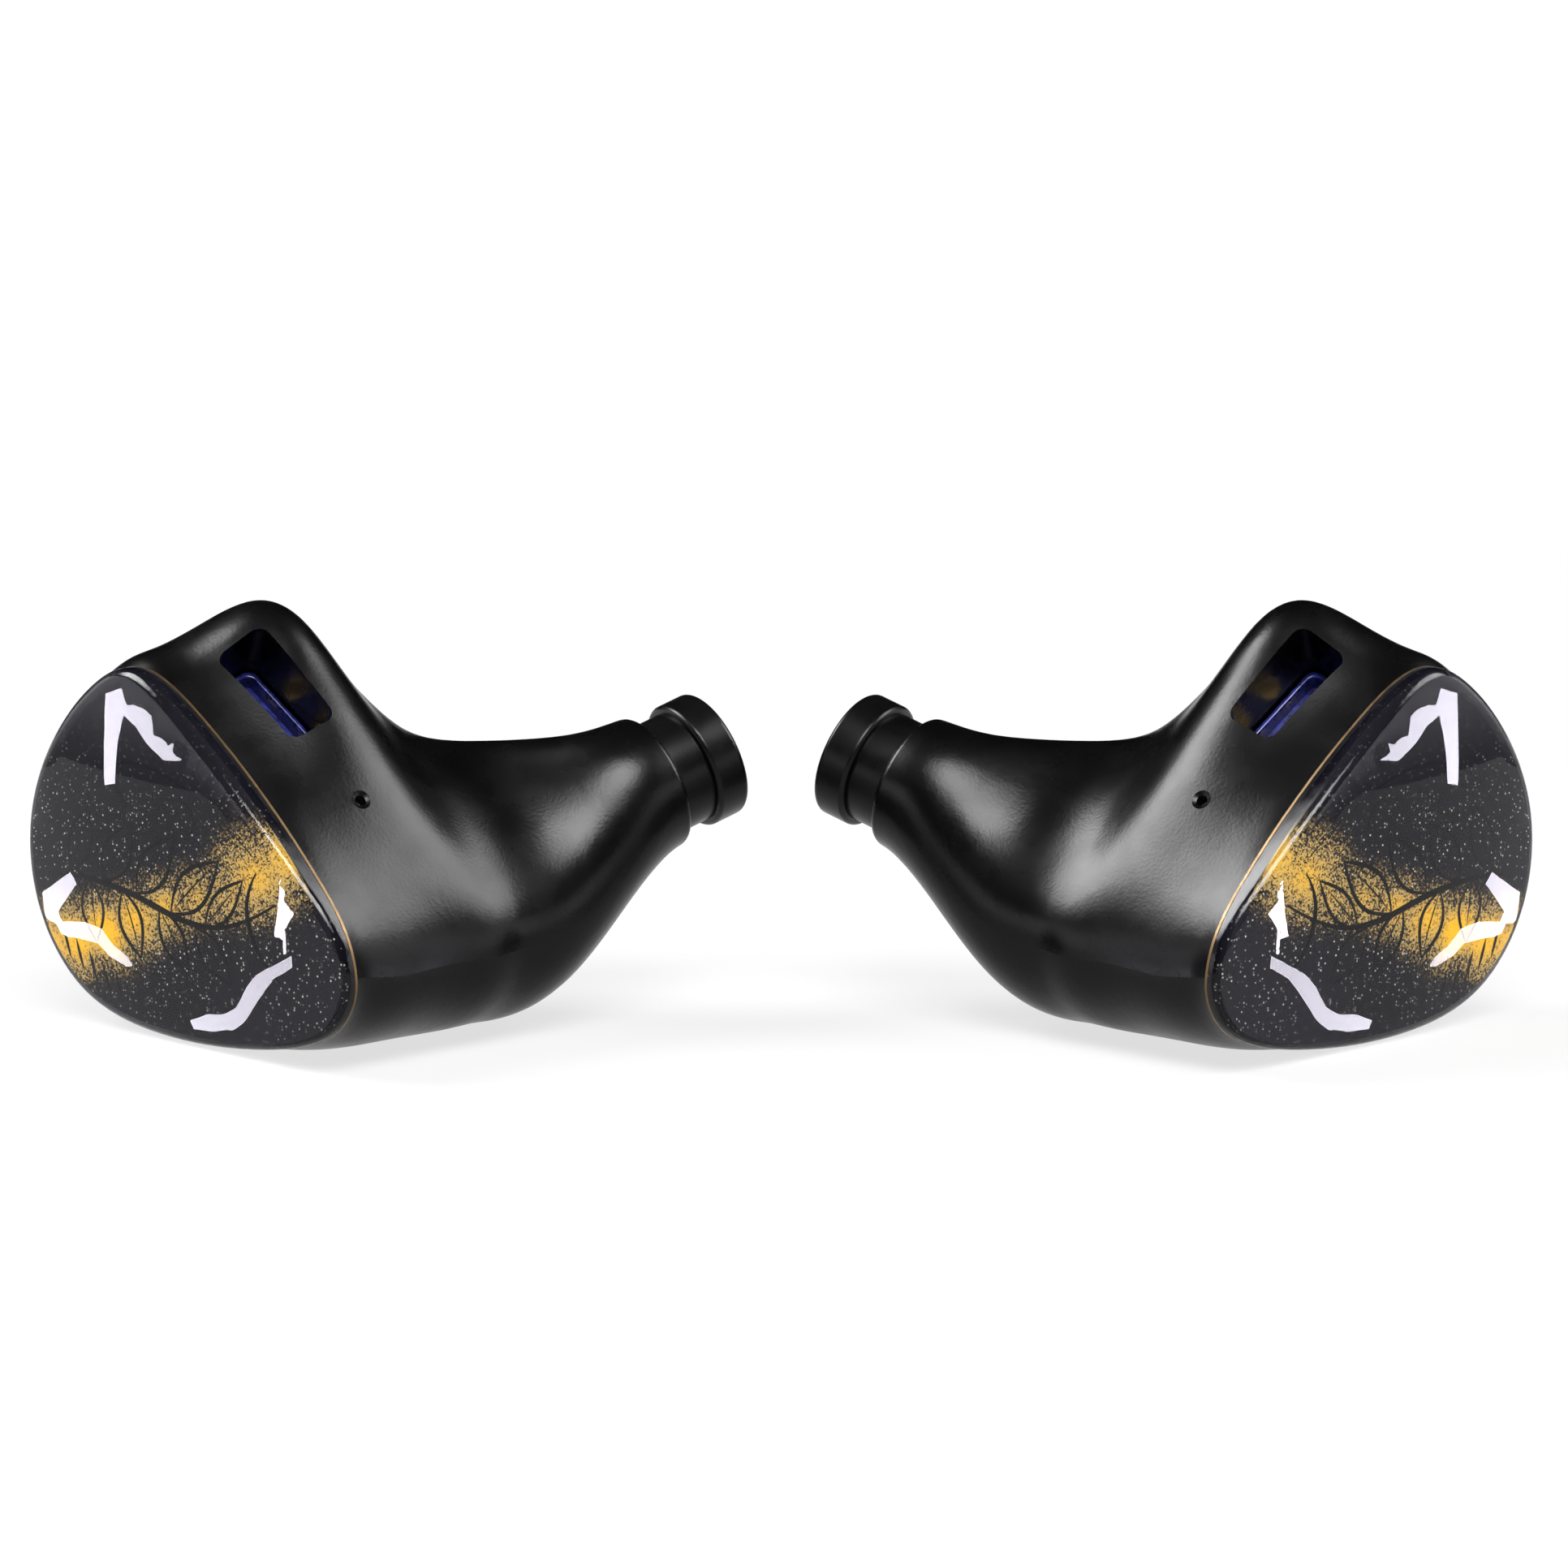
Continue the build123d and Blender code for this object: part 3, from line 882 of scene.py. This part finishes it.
@dataclass(frozen=True)
class Relief:
    """Raised lines on the faceplate: an arch, a stem with leaves, curls and slanted bars.

    Lengths are in millimetres on the earpiece's axes.

    Args:
        front: depth of the plate's front.
        height_share: how flat the lines are, as height over width.
        smooth_deg: edges sharper than this stay sharp.
        curve_order: greatest order of a line's curve.
        curve_steps: steps between two points of a line.
        round_steps: steps that round a line's section.
        lines: the arch, the stem, two curls and a side shoot.
        leaves: the leaves of the stem.
        bar: the first slanted bar.
        bar_step: from one bar to the next.
        bars: how many bars there are.
    """

    front: float = -0.65
    height_share: float = 0.3
    smooth_deg: float = 50.0
    curve_order: int = 4
    curve_steps: int = 5
    round_steps: int = 1
    lines: tuple[Stroke, ...] = (
        Stroke(((-8.6, 0.4), (-7.4, 2.6), (-5.2, 4.1), (-2.4, 4.5), (0.6, 3.7), (3.4, 2.3),
                (5.2, 0.9)), 0.1, 0.6),
        Stroke(((-9.2, -2.0), (-7.6, -1.5), (-5.4, -1.7), (-3.0, -1.9), (-0.6, -2.6),
                (1.8, -3.0), (4.2, -2.6), (6.6, -1.2)), 0.34, 0.3),
        Stroke(((-6.4, 2.0), (-5.8, 3.0), (-4.4, 3.2), (-3.4, 2.4), (-3.8, 1.6), (-4.6, 1.7)),
               0.15, 0.3),
        Stroke(((-1.2, 2.6), (-0.2, 3.2), (1.0, 2.8), (1.4, 1.8), (0.8, 1.2), (0.2, 1.6)),
               0.15, 0.3),
        Stroke(((5.4, 0.2), (4.6, -1.0), (4.7, -2.6), (5.6, -4.0), (6.8, -4.9)), 0.32, 0.2),
    )
    leaves: tuple[Leaf, ...] = (
        Leaf((-7.4, -1.4), (-6.2, 1.9), 0.26, 0.2), Leaf((-5.2, -1.6), (-3.0, 1.4), 0.28, 0.22),
        Leaf((-2.8, -1.9), (-0.1, 1.2), 0.25, 0.24), Leaf((-0.4, -2.5), (2.9, 0.4), 0.24, 0.24),
        Leaf((1.9, -2.9), (4.5, -0.3), 0.2, 0.2), Leaf((-6.2, -1.7), (-5.8, -4.7), 0.3, 0.2),
        Leaf((-3.8, -1.9), (-2.6, -5.0), 0.27, 0.24), Leaf((-1.2, -2.4), (0.7, -5.3), 0.25, 0.24),
        Leaf((1.2, -3.0), (3.6, -5.4), 0.24, 0.2),
    )
    bar: Stroke = Stroke(((-8.3, -4.3), (-8.1, -5.0), (-7.8, -5.8)), 0.38, 0.12)
    bar_step: Pair = (0.95, -0.45)
    bars: int = 5

    def strokes(self) -> list[Stroke]:
        """Lay out all the lines on the plate.

        Returns:
            The strokes of the lines, the leaves and the bars.
        """
        made = [*self.lines, *(stroke for leaf in self.leaves for stroke in leaf.strokes())]
        right, rise = self.bar_step
        for step in range(self.bars):
            points = tuple((x + step * right, y + step * rise) for x, y in self.bar.points)
            made.append(replace(self.bar, points=points))
        return made

    def build(self, axes: EarAxes, name: str) -> Object:
        """Make the relief as one mesh.

        Args:
            axes: the earpiece's axes.
            name: the piece's name.

        Returns:
            The new piece.
        """
        made = [self._line(stroke) for stroke in self.strokes()]
        deselect_all()
        for line in made:
            line.select_set(True)
        bpy.context.view_layer.objects.active = made[0]
        bpy.ops.object.join()
        piece = bpy.context.object
        piece.name = piece.data.name = name
        piece.data.transform(Matrix.Diagonal((1.0, 1.0, self.height_share, 1.0)))
        piece.data.transform(Matrix.Translation((0.0, 0.0, self.front)))
        piece.data.transform(axes.matrix())
        mend(piece, self.smooth_deg)
        return piece

    def _line(self, stroke: Stroke) -> Object:
        """Make one stroke as a tapered tube, in millimetres.

        Args:
            stroke: the stroke.

        Returns:
            The tube as a mesh piece.
        """
        deselect_all()
        bpy.ops.curve.primitive_nurbs_path_add(location=(0.0, 0.0, 0.0))
        curve = bpy.context.object.data
        curve.splines.clear()
        spline = curve.splines.new("NURBS")
        last = len(stroke.points) - 1
        spline.points.add(last)
        for index, (point, spot) in enumerate(zip(spline.points, stroke.points)):
            point.co = (*spot, 0.0, 1.0)
            full = math.sin(math.pi * index / last)
            point.radius = stroke.taper + (1.0 - stroke.taper) * full
        spline.order_u = min(self.curve_order, len(stroke.points))
        spline.use_endpoint_u = True
        spline.resolution_u = self.curve_steps
        curve.dimensions = "3D"
        curve.bevel_depth = stroke.width_mm / 2
        curve.bevel_resolution = self.round_steps
        curve.use_fill_caps = True
        bpy.ops.object.convert(target="MESH")
        return bpy.context.object


# ---- one earpiece
class Finishes:
    """The finishes that both earpieces share."""

    def __init__(self) -> None:
        """Build the materials that don't depend on the side."""
        black: Colour = (0.001, 0.001, 0.0011)
        brushed, wound = MetalWork.BRUSHED, MetalWork.WOUND
        self.resin = ClearResin().material("clear_resin")
        self.bond = BondedFace().material("bonded_face")
        self.ink = DeepPlastic((0.001,) * 3, (0.002,) * 3, 0.5, 0.05).material("relief_ink")
        self.shared: dict[str, Material] = {}
        for name, finish, *nodes in (
                ("satin_shell", MouldedSatin(black), "shell"),
                ("satin_nozzle", MouldedSatin(black, 0.3, grain_scale=12000.0,
                                              grain_depth_mm=0.002), "nozzle"),
                ("gold_plate", Metal((0.95, 0.66, 0.26), 0.22), "contact_signal",
                 "contact_ground"),
                ("brushed_steel", Metal((0.62, 0.62, 0.64), 0.32, brushed), "driver_cover",
                 "yoke", "top_plate"),
                ("dark_sheet", Metal((0.06, 0.06, 0.065), 0.42, brushed), "nozzle_mesh"),
                ("turned_aluminium", Metal((0.72, 0.72, 0.74), 0.3, brushed), "driver_frame"),
                ("nickel_plate", Metal((0.66, 0.65, 0.62), 0.2), "magnet"),
                ("copper_winding", Metal((0.72, 0.32, 0.14), 0.35, wound), "voice_coil"),
                ("navy_moulding", DeepPlastic((0.005, 0.007, 0.07), (0.016, 0.024, 0.26)),
                 "socket_block"),
                ("polymer_film", DeepPlastic((0.45, 0.4, 0.25), (0.6, 0.54, 0.36), 0.2),
                 "diaphragm"),
                ("solder_resist", DeepPlastic((0.01, 0.1, 0.03), (0.02, 0.16, 0.05), 0.3),
                 "terminal_board"),
                ("vent_cloth", SoftStuff((0.02,) * 3, (0.07,) * 3, 20000.0), "vent_screen"),
                ("damper_foam", SoftStuff((0.04,) * 3, (0.12,) * 3, 6000.0), "nozzle_damper"),
                ("gasket_foam", SoftStuff((0.01,) * 3, (0.03,) * 3, 5000.0), "driver_gasket"),
                ("surround_rubber", SoftStuff((0.03,) * 3, (0.06,) * 3, 7000.0, 0.6),
                 "surround"),
                ("acoustic_paper", SoftStuff((0.6, 0.57, 0.5), (0.75, 0.72, 0.66), 9000.0),
                 "damping_ring"),
                ("red_sleeve", SoftStuff((0.3, 0.015, 0.01), (0.45, 0.03, 0.02), 3000.0, 0.5),
                 "lead_signal"),
                ("black_sleeve", SoftStuff((0.01,) * 3, (0.03,) * 3, 3000.0, 0.5),
                 "lead_ground")):
            self.shared |= dict.fromkeys(nodes, finish.material(name))


@dataclass
class Earpiece:
    """One earpiece: its dressed CAD nodes, its clear dome and its relief.

    Args:
        side: which earpiece.
        finishes: the finishes of the pair.
        middle_mm: middle of the faceplate on the earpiece's axes.
        level: depth of a face's normal past which it looks inwards.
        smooth_deg: edges of the dome sharper than this stay sharp.
    """

    side: Side
    finishes: Finishes
    middle_mm: Pair = (0.4, -0.5)
    level: float = 0.3
    smooth_deg: float = 35.0

    def __post_init__(self) -> None:
        """Find the earpiece's axes."""
        self.axes = EarAxes(self.side)

    @property
    def body(self) -> str:
        """The CAD body that the earpiece's own pieces ride on."""
        return f"{self.side.word}_earpiece"

    def node(self, name: str) -> Object:
        """A CAD node of this earpiece."""
        return frame["nodes"][f"{self.side.word}_{name}"]

    def dress_nodes(self) -> None:
        """Give each CAD node its finish."""
        word = self.side.word
        plate = MistedPlate(self.axes).material(f"{word}_misted_plate")
        seam = SeamLacquer(self.axes).material(f"{word}_seam_lacquer")
        for name, material in {**self.finishes.shared, "faceplate_panel": plate,
                               "seam_ring": seam}.items():
            dress(self.node(name), material)
            log.info("%s %s: %s", word, name, material.name)

    def is_bonded(self, face: MeshPolygon) -> bool:
        """Tell the inner faces of the dome from the polished ones.

        Args:
            face: a face of the dome.

        Returns:
            Whether it looks at the plate or the seam.
        """
        to_axes = self.axes.matrix().inverted()
        facing = (to_axes.to_3x3() @ face.normal).normalized()
        place = to_axes @ face.center
        x, y = self.middle_mm
        to_middle = facing.x * (place.x - x) + facing.y * (place.y - y) < 0.0
        return facing.z > self.level or (abs(facing.z) < self.level and to_middle)

    def build_dome(self) -> None:
        """Copy the dome, polished outside and bonded to the plate and the seam inside."""
        name = f"{self.side.word}_clear_dome"
        dome = put(name, self.node("faceplate_dome").data.copy())
        mend(dome, self.smooth_deg, copied=True)
        dress(dome, self.finishes.resin, self.finishes.bond)
        for face in dome.data.polygons:
            face.material_index = int(self.is_bonded(face))
        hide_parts(f"{self.side.word}_faceplate_dome")
        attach(dome, self.body)
        log.info("%s: %d faces", name, len(dome.data.polygons))

    def build_relief(self) -> None:
        """Lay the raised lines on the plate."""
        piece = Relief().build(self.axes, f"{self.side.word}_plate_relief")
        dress(piece, self.finishes.ink)
        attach(piece, self.body)
        log.info("%s: %d faces", piece.name, len(piece.data.polygons))

    def build(self) -> None:
        """Build and dress the whole earpiece."""
        self.dress_nodes()
        self.build_dome()
        self.build_relief()


# ---- studio
def lay_sheet(name: str, breadth: float) -> Object:
    """Lay a square sheet on the floor's level.

    Args:
        name: the sheet's name.
        breadth: its breadth in metres.

    Returns:
        The sheet.
    """
    deselect_all()
    bpy.ops.mesh.primitive_plane_add(size=breadth, location=(0.0, 0.0, 0.0))
    sheet = bpy.context.object
    sheet.name = name
    return sheet


def only_reflected(card: Object) -> None:
    """Let only reflections show a card."""
    for kind in ("camera", "diffuse", "transmission", "shadow"):
        setattr(card, f"visible_{kind}", False)


@dataclass(frozen=True)
class Softbox:
    """One soft lamp.

    Args:
        name: its name.
        azimuth_deg: its bearing round the pair.
        elevation_deg: its angle above the floor.
        distance: how far it is from the target, in metres.
        width: its width in metres.
        height: its height in metres.
        power: its power in watts.
        glow: brightness of its soft panel, which only reflections show.
        reach: half that panel's breadth, in metres.
        core: share of the reach within which the panel is brightest.
    """

    name: str
    azimuth_deg: float
    elevation_deg: float
    distance: float
    width: float
    height: float
    power: float
    glow: float
    reach: float
    core: float = 0.35


@dataclass(frozen=True)
class Glint:
    """A bright card that the camera sees as a crisp shape on a dome.

    Args:
        name: its name.
        outline: its corners on the dome, in millimetres on the earpiece's axes.
        strength: its brightness.
    """

    name: str
    outline: tuple[Pair, ...]
    strength: float = 40.0


@dataclass
class GlintCards:
    """Bright cards round the pair, which only reflections show.

    Args:
        camera: where the camera stands.
        glints: the cards, the same for both earpieces.
        tint: colour of the cards.
        crown_radius_mm: radius of the dome's crown.
        crown_top_mm: depth of the dome's top.
        reach: how far out a card stands, in metres, where the floor isn't nearer.
        floor_share: share of the way to the floor that a card keeps to.
        haze_tint: colour of the dim panel beside each earpiece.
        haze_azimuth_deg: that panel's first and last bearing.
        haze_steps: flat strips in its curve.
        haze_distance: how far out it stands, in metres.
        haze_height: its height in metres.
        haze_full: share of the height at which it is brightest.
        haze_strength: its brightness at its foot and from there up.
    """

    camera: Vector
    glints: tuple[Glint, ...] = (
        Glint("arch_card", (
            (-4.5, 7.4), (-3.3, 7.8), (-2.1, 7.9), (-1.9, 7.2), (-0.9, 6.7), (-0.7, 6.3),
            (0.2, 5.6), (0.6, 5.7), (0.5, 5.3), (1.2, 5.0), (0.0, 4.9), (-1.3, 5.6),
            (-2.2, 6.3), (-3.1, 6.7), (-3.4, 5.4), (-3.5, 3.4), (-4.3, 3.2))),
        Glint("hook_card", (
            (-7.1, -1.4), (-6.6, -1.9), (-8.3, -3.5), (-8.1, -4.0), (-6.2, -3.7),
            (-4.8, -3.8), (-3.9, -4.5), (-2.9, -4.9), (-2.3, -5.6), (-4.3, -5.1),
            (-5.1, -4.6), (-6.8, -4.6), (-8.7, -4.8), (-9.4, -4.1), (-9.6, -2.8)), 26.0),
        Glint("edge_card", (
            (7.7, 0.3), (8.4, -0.4), (8.3, -1.3), (7.8, -2.1), (7.8, -3.3), (7.6, -3.3),
            (7.6, -2.6), (7.1, -2.5), (7.4, -1.2)), 70.0),
        Glint("low_card", (
            (8.1, -3.3), (8.1, -3.9), (6.9, -4.6), (6.0, -5.6), (4.9, -6.9), (4.0, -7.5),
            (2.8, -7.8), (1.4, -7.8), (1.2, -7.4), (2.5, -6.9), (3.5, -6.8), (4.4, -6.3),
            (5.2, -5.2), (5.9, -4.5))),
    )
    tint: Colour = (0.92, 0.88, 1.0)
    crown_radius_mm: float = 58.0
    crown_top_mm: float = -1.9
    reach: float = 0.09
    floor_share: float = 0.85
    haze_tint: Colour = (0.96, 0.95, 1.0)
    haze_azimuth_deg: Pair = (52.0, 120.0)
    haze_steps: int = 12
    haze_distance: float = 0.16
    haze_height: float = 0.06
    haze_full: float = 0.4
    haze_strength: Pair = (0.4, 2.6)

    def build(self) -> None:
        """Hang the cards for both earpieces."""
        haze = self._haze_material()
        whites = [self._material(glint) for glint in self.glints]
        for side in Side:
            for glint, white in zip(self.glints, whites):
                card = self._card(glint, EarAxes(side))
                dress(card, white)
            panel = self._haze(side)
            dress(panel, haze)

    def _material(self, glint: Glint) -> Material:
        """Make the bright cool white of one card.

        Args:
            glint: what the card shows.

        Returns:
            The material.
        """
        material, recipe = new_material(f"{glint.name}_white")
        recipe.finish(recipe.glow(self.tint, glint.strength))
        return material

    def _haze_material(self) -> Material:
        """Make a white that grows brighter upwards, for a soft haze at the domes' top.

        Returns:
            The material.
        """
        material, recipe = new_material("haze_white")
        height = recipe.add("SeparateXYZ", Vector=recipe.here()).outputs[2]
        full = self.haze_full * self.haze_height
        strength = recipe.ramp(height, 0.0, full, *self.haze_strength)
        recipe.finish(recipe.glow(self.haze_tint, strength))
        return material

    def _haze(self, side: Side) -> Object:
        """Stand a curved panel beside one earpiece.

        Args:
            side: which earpiece.

        Returns:
            The panel.
        """
        first, last = self.haze_azimuth_deg
        points = []
        for step in range(self.haze_steps + 1):
            turn = first + (last - first) * step / self.haze_steps
            foot = bearing(side.value * turn) * self.haze_distance
            points += [foot, foot + Vector((0.0, 0.0, self.haze_height))]
        faces = [(at, at + 2, at + 3, at + 1) for at in range(0, 2 * self.haze_steps, 2)]
        return self._hang(f"{side.word}_haze_panel", points, faces)

    @staticmethod
    def _hang(name: str, points: list[Vector], faces: list[tuple[int, ...]]) -> Object:
        """Make a card that only reflections show.

        Args:
            name: the card's name.
            points: its corners.
            faces: its faces, as indices of the corners.

        Returns:
            The card.
        """
        mesh = bpy.data.meshes.new(name)
        mesh.from_pydata(points, [], faces)
        card = put(name, mesh)
        only_reflected(card)
        log.info("%s hung", name)
        return card

    def _mirrored(self, spot: Pair, matrix: Matrix) -> tuple[Vector, Vector]:
        """Where the camera's line of sight goes after the dome reflects it.

        Args:
            spot: the place on the dome, in millimetres.
            matrix: the earpiece's matrix.

        Returns:
            The place on the dome and the direction onwards.
        """
        across, up = spot
        drop = math.sqrt(self.crown_radius_mm ** 2 - across ** 2 - up ** 2)
        centre_depth = self.crown_top_mm + self.crown_radius_mm
        place = matrix @ Vector((across, up, centre_depth - drop))
        normal = (place - matrix @ Vector((0.0, 0.0, centre_depth))).normalized()
        return place, (place - self.camera).normalized().reflect(normal)

    def _card(self, glint: Glint, axes: EarAxes) -> Object:
        """Make one card as a flat shape, square to the light it sends.

        Args:
            glint: the shape.
            axes: the earpiece's axes.

        Returns:
            The card.
        """
        matrix = axes.matrix()
        rays = [self._mirrored(spot, matrix) for spot in glint.outline]
        middle = sum((place for place, _ in rays), Vector()) / len(rays)
        square = sum((onward for _, onward in rays), Vector()).normalized()
        drops = [-place.z / onward.z for place, onward in rays if onward.z < 0.0]
        distance = min([self.reach] + [self.floor_share * drop for drop in drops])
        plane = middle + square * distance
        corners = [place + onward * ((plane - place).dot(square) / onward.dot(square))
                   for place, onward in rays]
        return self._hang(f"{axes.side.word}_{glint.name}", corners, [tuple(range(len(corners)))])


@dataclass
class Studio:
    """Plain pale floor, soft lamps, bright cards and the camera.

    Args:
        target: the point that the camera looks at.
        distance: how far it is from there, in metres.
        elevation_deg: its angle above the floor.
        view_mm: width of the view at the target.
        sensor_mm: width of its sensor.
        near: how near it begins to see, in metres.
        shift: its shift across and up.
        room: the room's brightness to all but the camera.
        floor_size: breadth of the floor, in metres.
        floor_grey: the floor's own colour, which the lamps light.
        floor_white: two distances from the pair, and how white the floor looks at each.
        lamps: the soft lamps.
    """

    target: Point = (0.0, -0.802 * MM, 10.216 * MM)
    distance: float = 0.330
    elevation_deg: float = 11.0
    view_mm: float = 74.308
    sensor_mm: float = 36.0
    near: float = 0.01
    shift: Pair = (0.0018, 0.0282)
    room: float = 0.004
    floor_size: float = 40.0
    floor_grey: float = 0.22
    floor_white: Four = (0.06, 0.5, 0.72, 1.0)
    lamps: tuple[Softbox, ...] = (
        Softbox("lamp_front", 8.0, 51.0, 0.6, 0.42, 0.3, 3.9, 31.0, 0.25),
        Softbox("lamp_left", -103.0, 44.0, 0.6, 0.32, 0.3, 2.9, 28.0, 0.24),
        Softbox("lamp_right", 98.0, 38.0, 0.6, 0.3, 0.26, 1.5, 15.0, 0.26),
    )

    def build(self) -> None:
        """Set up the whole studio."""
        camera = self._camera()
        self._floor()
        self._world()
        for box in self.lamps:
            self._panel(box, self._lamp(box))
            log.info("%s hung", box.name)
        GlintCards(camera.location.copy()).build()

    def _aim(self, thing: Object, azimuth_deg: float, elevation_deg: float,
             distance: float) -> None:
        """Put a camera or a lamp in its place, turned to the target.

        Args:
            thing: the camera or lamp.
            azimuth_deg: its bearing.
            elevation_deg: its angle above the floor.
            distance: how far it is from the target, in metres.
        """
        away = bearing(azimuth_deg, elevation_deg)
        thing.location = Vector(self.target) + away * distance
        thing.rotation_euler = (-away).to_track_quat("-Z", "Y").to_euler()

    def _camera(self) -> Object:
        """Put the camera at its viewing angle.

        Returns:
            The camera.
        """
        data = bpy.data.cameras.new("camera")
        data.sensor_width = self.sensor_mm
        data.lens = self.sensor_mm * self.distance / (self.view_mm * MM)
        data.shift_x, data.shift_y = self.shift
        data.clip_start = self.near
        camera = put("camera", data)
        self._aim(camera, 0.0, self.elevation_deg, self.distance)
        bpy.context.scene.camera = camera
        return camera

    def _floor(self) -> None:
        """Lay a pale floor, white to the eye, that keeps the pair's shadow."""
        floor = lay_sheet("floor", self.floor_size)
        material, recipe = new_material("pale_floor")
        white = recipe.ramp(recipe.length(recipe.here()), *self.floor_white)
        path = recipe.add("LightPath")
        seen = path.outputs["Is Camera Ray"]
        for kind in ("Glossy", "Transmission"):
            seen = recipe.math("MAXIMUM", seen, path.outputs[f"Is {kind} Ray"])
        matt = recipe.add("BsdfDiffuse", Color=recipe.rgba(scaled(WHITE, self.floor_grey)))
        glow = recipe.glow(WHITE, recipe.times(seen, white))
        recipe.finish(recipe.add("AddShader", i0=matt.outputs[0], i1=glow.outputs[0]))
        dress(floor, material)

    def _world(self) -> None:
        """Light the room evenly, and leave it white to the eye."""
        world = bpy.data.worlds.new("studio")
        world.use_nodes = True
        recipe = Recipe(world.node_tree)
        seen = recipe.add("LightPath").outputs["Is Camera Ray"]
        back = recipe.add("Background", Color=recipe.rgba(WHITE),
                          Strength=recipe.ramp(seen, 0.0, 1.0, self.room, 1.0))
        recipe.add("OutputWorld", Surface=back.outputs[0])
        bpy.context.scene.world = world

    def _lamp(self, box: Softbox) -> Object:
        """Hang one softbox, turned to the pair.

        Args:
            box: the softbox.

        Returns:
            Its lamp.
        """
        data = bpy.data.lights.new(box.name, "AREA")
        data.shape = "RECTANGLE"
        data.size, data.size_y = box.width, box.height
        data.energy = box.power
        lamp = put(box.name, data)
        self._aim(lamp, box.azimuth_deg, box.elevation_deg, box.distance)
        lamp.visible_camera = lamp.visible_glossy = False
        return lamp

    @staticmethod
    def _panel(box: Softbox, lamp: Object) -> None:
        """Stand a soft panel in a lamp's place.

        Args:
            box: the softbox.
            lamp: its lamp.
        """
        panel = lay_sheet(f"{box.name}_panel", 2.0 * box.reach)
        panel.location, panel.rotation_euler = lamp.location, lamp.rotation_euler
        material, recipe = new_material(f"{box.name}_white")
        away = recipe.length(recipe.here())
        recipe.finish(recipe.glow(WHITE, recipe.ramp(away, box.core * box.reach, box.reach,
                                                     box.glow, 0.0)))
        dress(panel, material)
        only_reflected(panel)


def main() -> None:
    """Build the pair and its studio."""
    bpy.context.scene.view_settings.view_transform = "Standard"
    finishes = Finishes()
    for side in Side:
        Earpiece(side, finishes).build()
    Studio().build()


if __name__ == "__main__":
    main()
